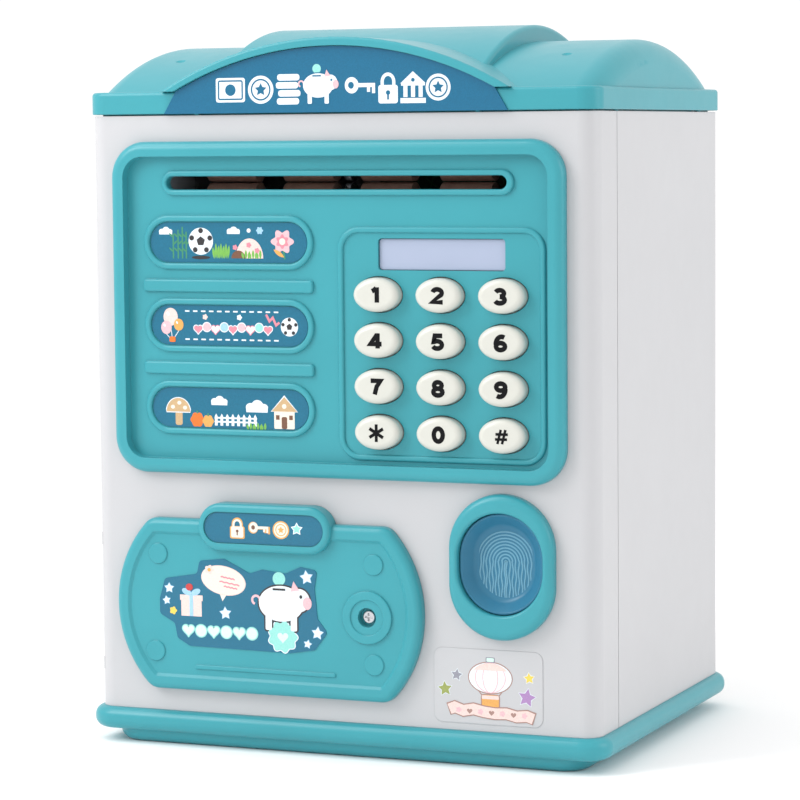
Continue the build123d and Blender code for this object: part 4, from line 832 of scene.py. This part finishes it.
pad_floor = pad_low.y + PAD_HOLLOW_DEPTH * MM
fingerprint = Print("fingerprint_print", pad_floor, "fingerprint_pad", "pad_blue")
for ridge in range(10):
    half = 0.3 + RIDGE_PITCH * ridge
    foot = -PRINT_HALF_HEIGHT * sqrt(max(0.02, 1 - (half / PRINT_HALF_WIDTH) ** 2))
    crown = min(1.0, PRINT_HALF_HEIGHT - half)
    legs = [foot + (crown - foot) * k / 10 for k in range(11)]
    wave = [0.22 * sin(0.9 * z + 1.7 * ridge) for z in legs]
    path = [(half + w, z) for w, z in zip(wave, legs)]
    path += arc(0, crown, half, half, 0, 180, 18)[1:-1]
    path += [(-half + w, z) for w, z in zip(wave[::-1], legs[::-1])]
    fingerprint.band([(PRINT_X + x, PRINT_Z + z) for x, z in path], 0.5, pad_ridge, 1)
fingerprint.finish()


# ---------------------------------------------------------------- floor, lights and camera
floor_material, floor_tree, floor_bsdf = new_shader("pale floor")
floor_noise = object_noise(floor_tree, 3.0, detail=2.0)
floor_tree.links.new(
    shades(floor_tree, floor_noise.outputs["Fac"], (0.96, 0.96, 0.96), (0.97, 0.97, 0.97)),
    floor_bsdf.inputs["Base Color"],
)
floor_bsdf.inputs["Roughness"].default_value = 0.8
floor_mesh = bpy.data.meshes.new("floor")
FLOOR_HALF = 6.0
floor_mesh.from_pydata(
    [(sx * FLOOR_HALF, sy * FLOOR_HALF, 0) for sx, sy in ((-1, -1), (1, -1), (1, 1), (-1, 1))],
    [],
    [(0, 1, 2, 3)],
)
floor_mesh.materials.append(floor_material)
floor = bpy.data.objects.new("floor", floor_mesh)
bpy.context.scene.collection.objects.link(floor)

world = bpy.data.worlds.new("studio")
bpy.context.scene.world = world
world.use_nodes = True
world.node_tree.nodes["Background"].inputs["Color"].default_value = (1.0, 1.0, 1.0, 1)
world.node_tree.nodes["Background"].inputs["Strength"].default_value = 1.05
LIGHT_AIM = Vector((0, 0, 0.12))


def softbox(name, place, size, power):
    """A square area light that faces the middle of the bank."""
    light = bpy.data.lights.new(name, "AREA")
    light.size = size
    light.energy = power
    lamp = bpy.data.objects.new(name, light)
    bpy.context.scene.collection.objects.link(lamp)
    lamp.location = place
    lamp.rotation_euler = (LIGHT_AIM - Vector(place)).to_track_quat("-Z", "Y").to_euler()


softbox("key light", (-0.46, -0.52, 0.52), 0.3, 2.4)
softbox("side light", (1.0, 0.12, 0.5), 0.6, 2.3)
softbox("top light", (-0.42, -0.34, 0.95), 0.45, 2.6)

# Camera: a long lens, low and to the right of the front
CAMERA_TURN = radians(22.48)
CAMERA_RISE = radians(4.88)
CAMERA_ROLL = radians(-0.51)
CAMERA_DISTANCE = 1.0814
CAMERA_AIM = Vector((0.0, 0.0, 0.1136))
CAMERA_PAN = (-5.19 * MM, -0.29 * MM)
LENS = 139.6

back = Vector((sin(CAMERA_TURN) * cos(CAMERA_RISE), -cos(CAMERA_TURN) * cos(CAMERA_RISE), sin(CAMERA_RISE)))
right = (-back).cross(Vector((0, 0, 1))).normalized()
up = right.cross(-back)
right, up = (
    right * cos(CAMERA_ROLL) + up * sin(CAMERA_ROLL),
    up * cos(CAMERA_ROLL) - right * sin(CAMERA_ROLL),
)
place = CAMERA_AIM + back * CAMERA_DISTANCE + right * CAMERA_PAN[0] + up * CAMERA_PAN[1]
camera_data = bpy.data.cameras.new("camera")
camera_data.lens = LENS
camera_data.sensor_width = 36.0
camera = bpy.data.objects.new("camera", camera_data)
bpy.context.scene.collection.objects.link(camera)
camera.matrix_world = Matrix(
    ((right.x, up.x, back.x, place.x),
     (right.y, up.y, back.y, place.y),
     (right.z, up.z, back.z, place.z),
     (0, 0, 0, 1))
)
bpy.context.scene.camera = camera
bpy.context.scene.view_settings.view_transform = "Standard"
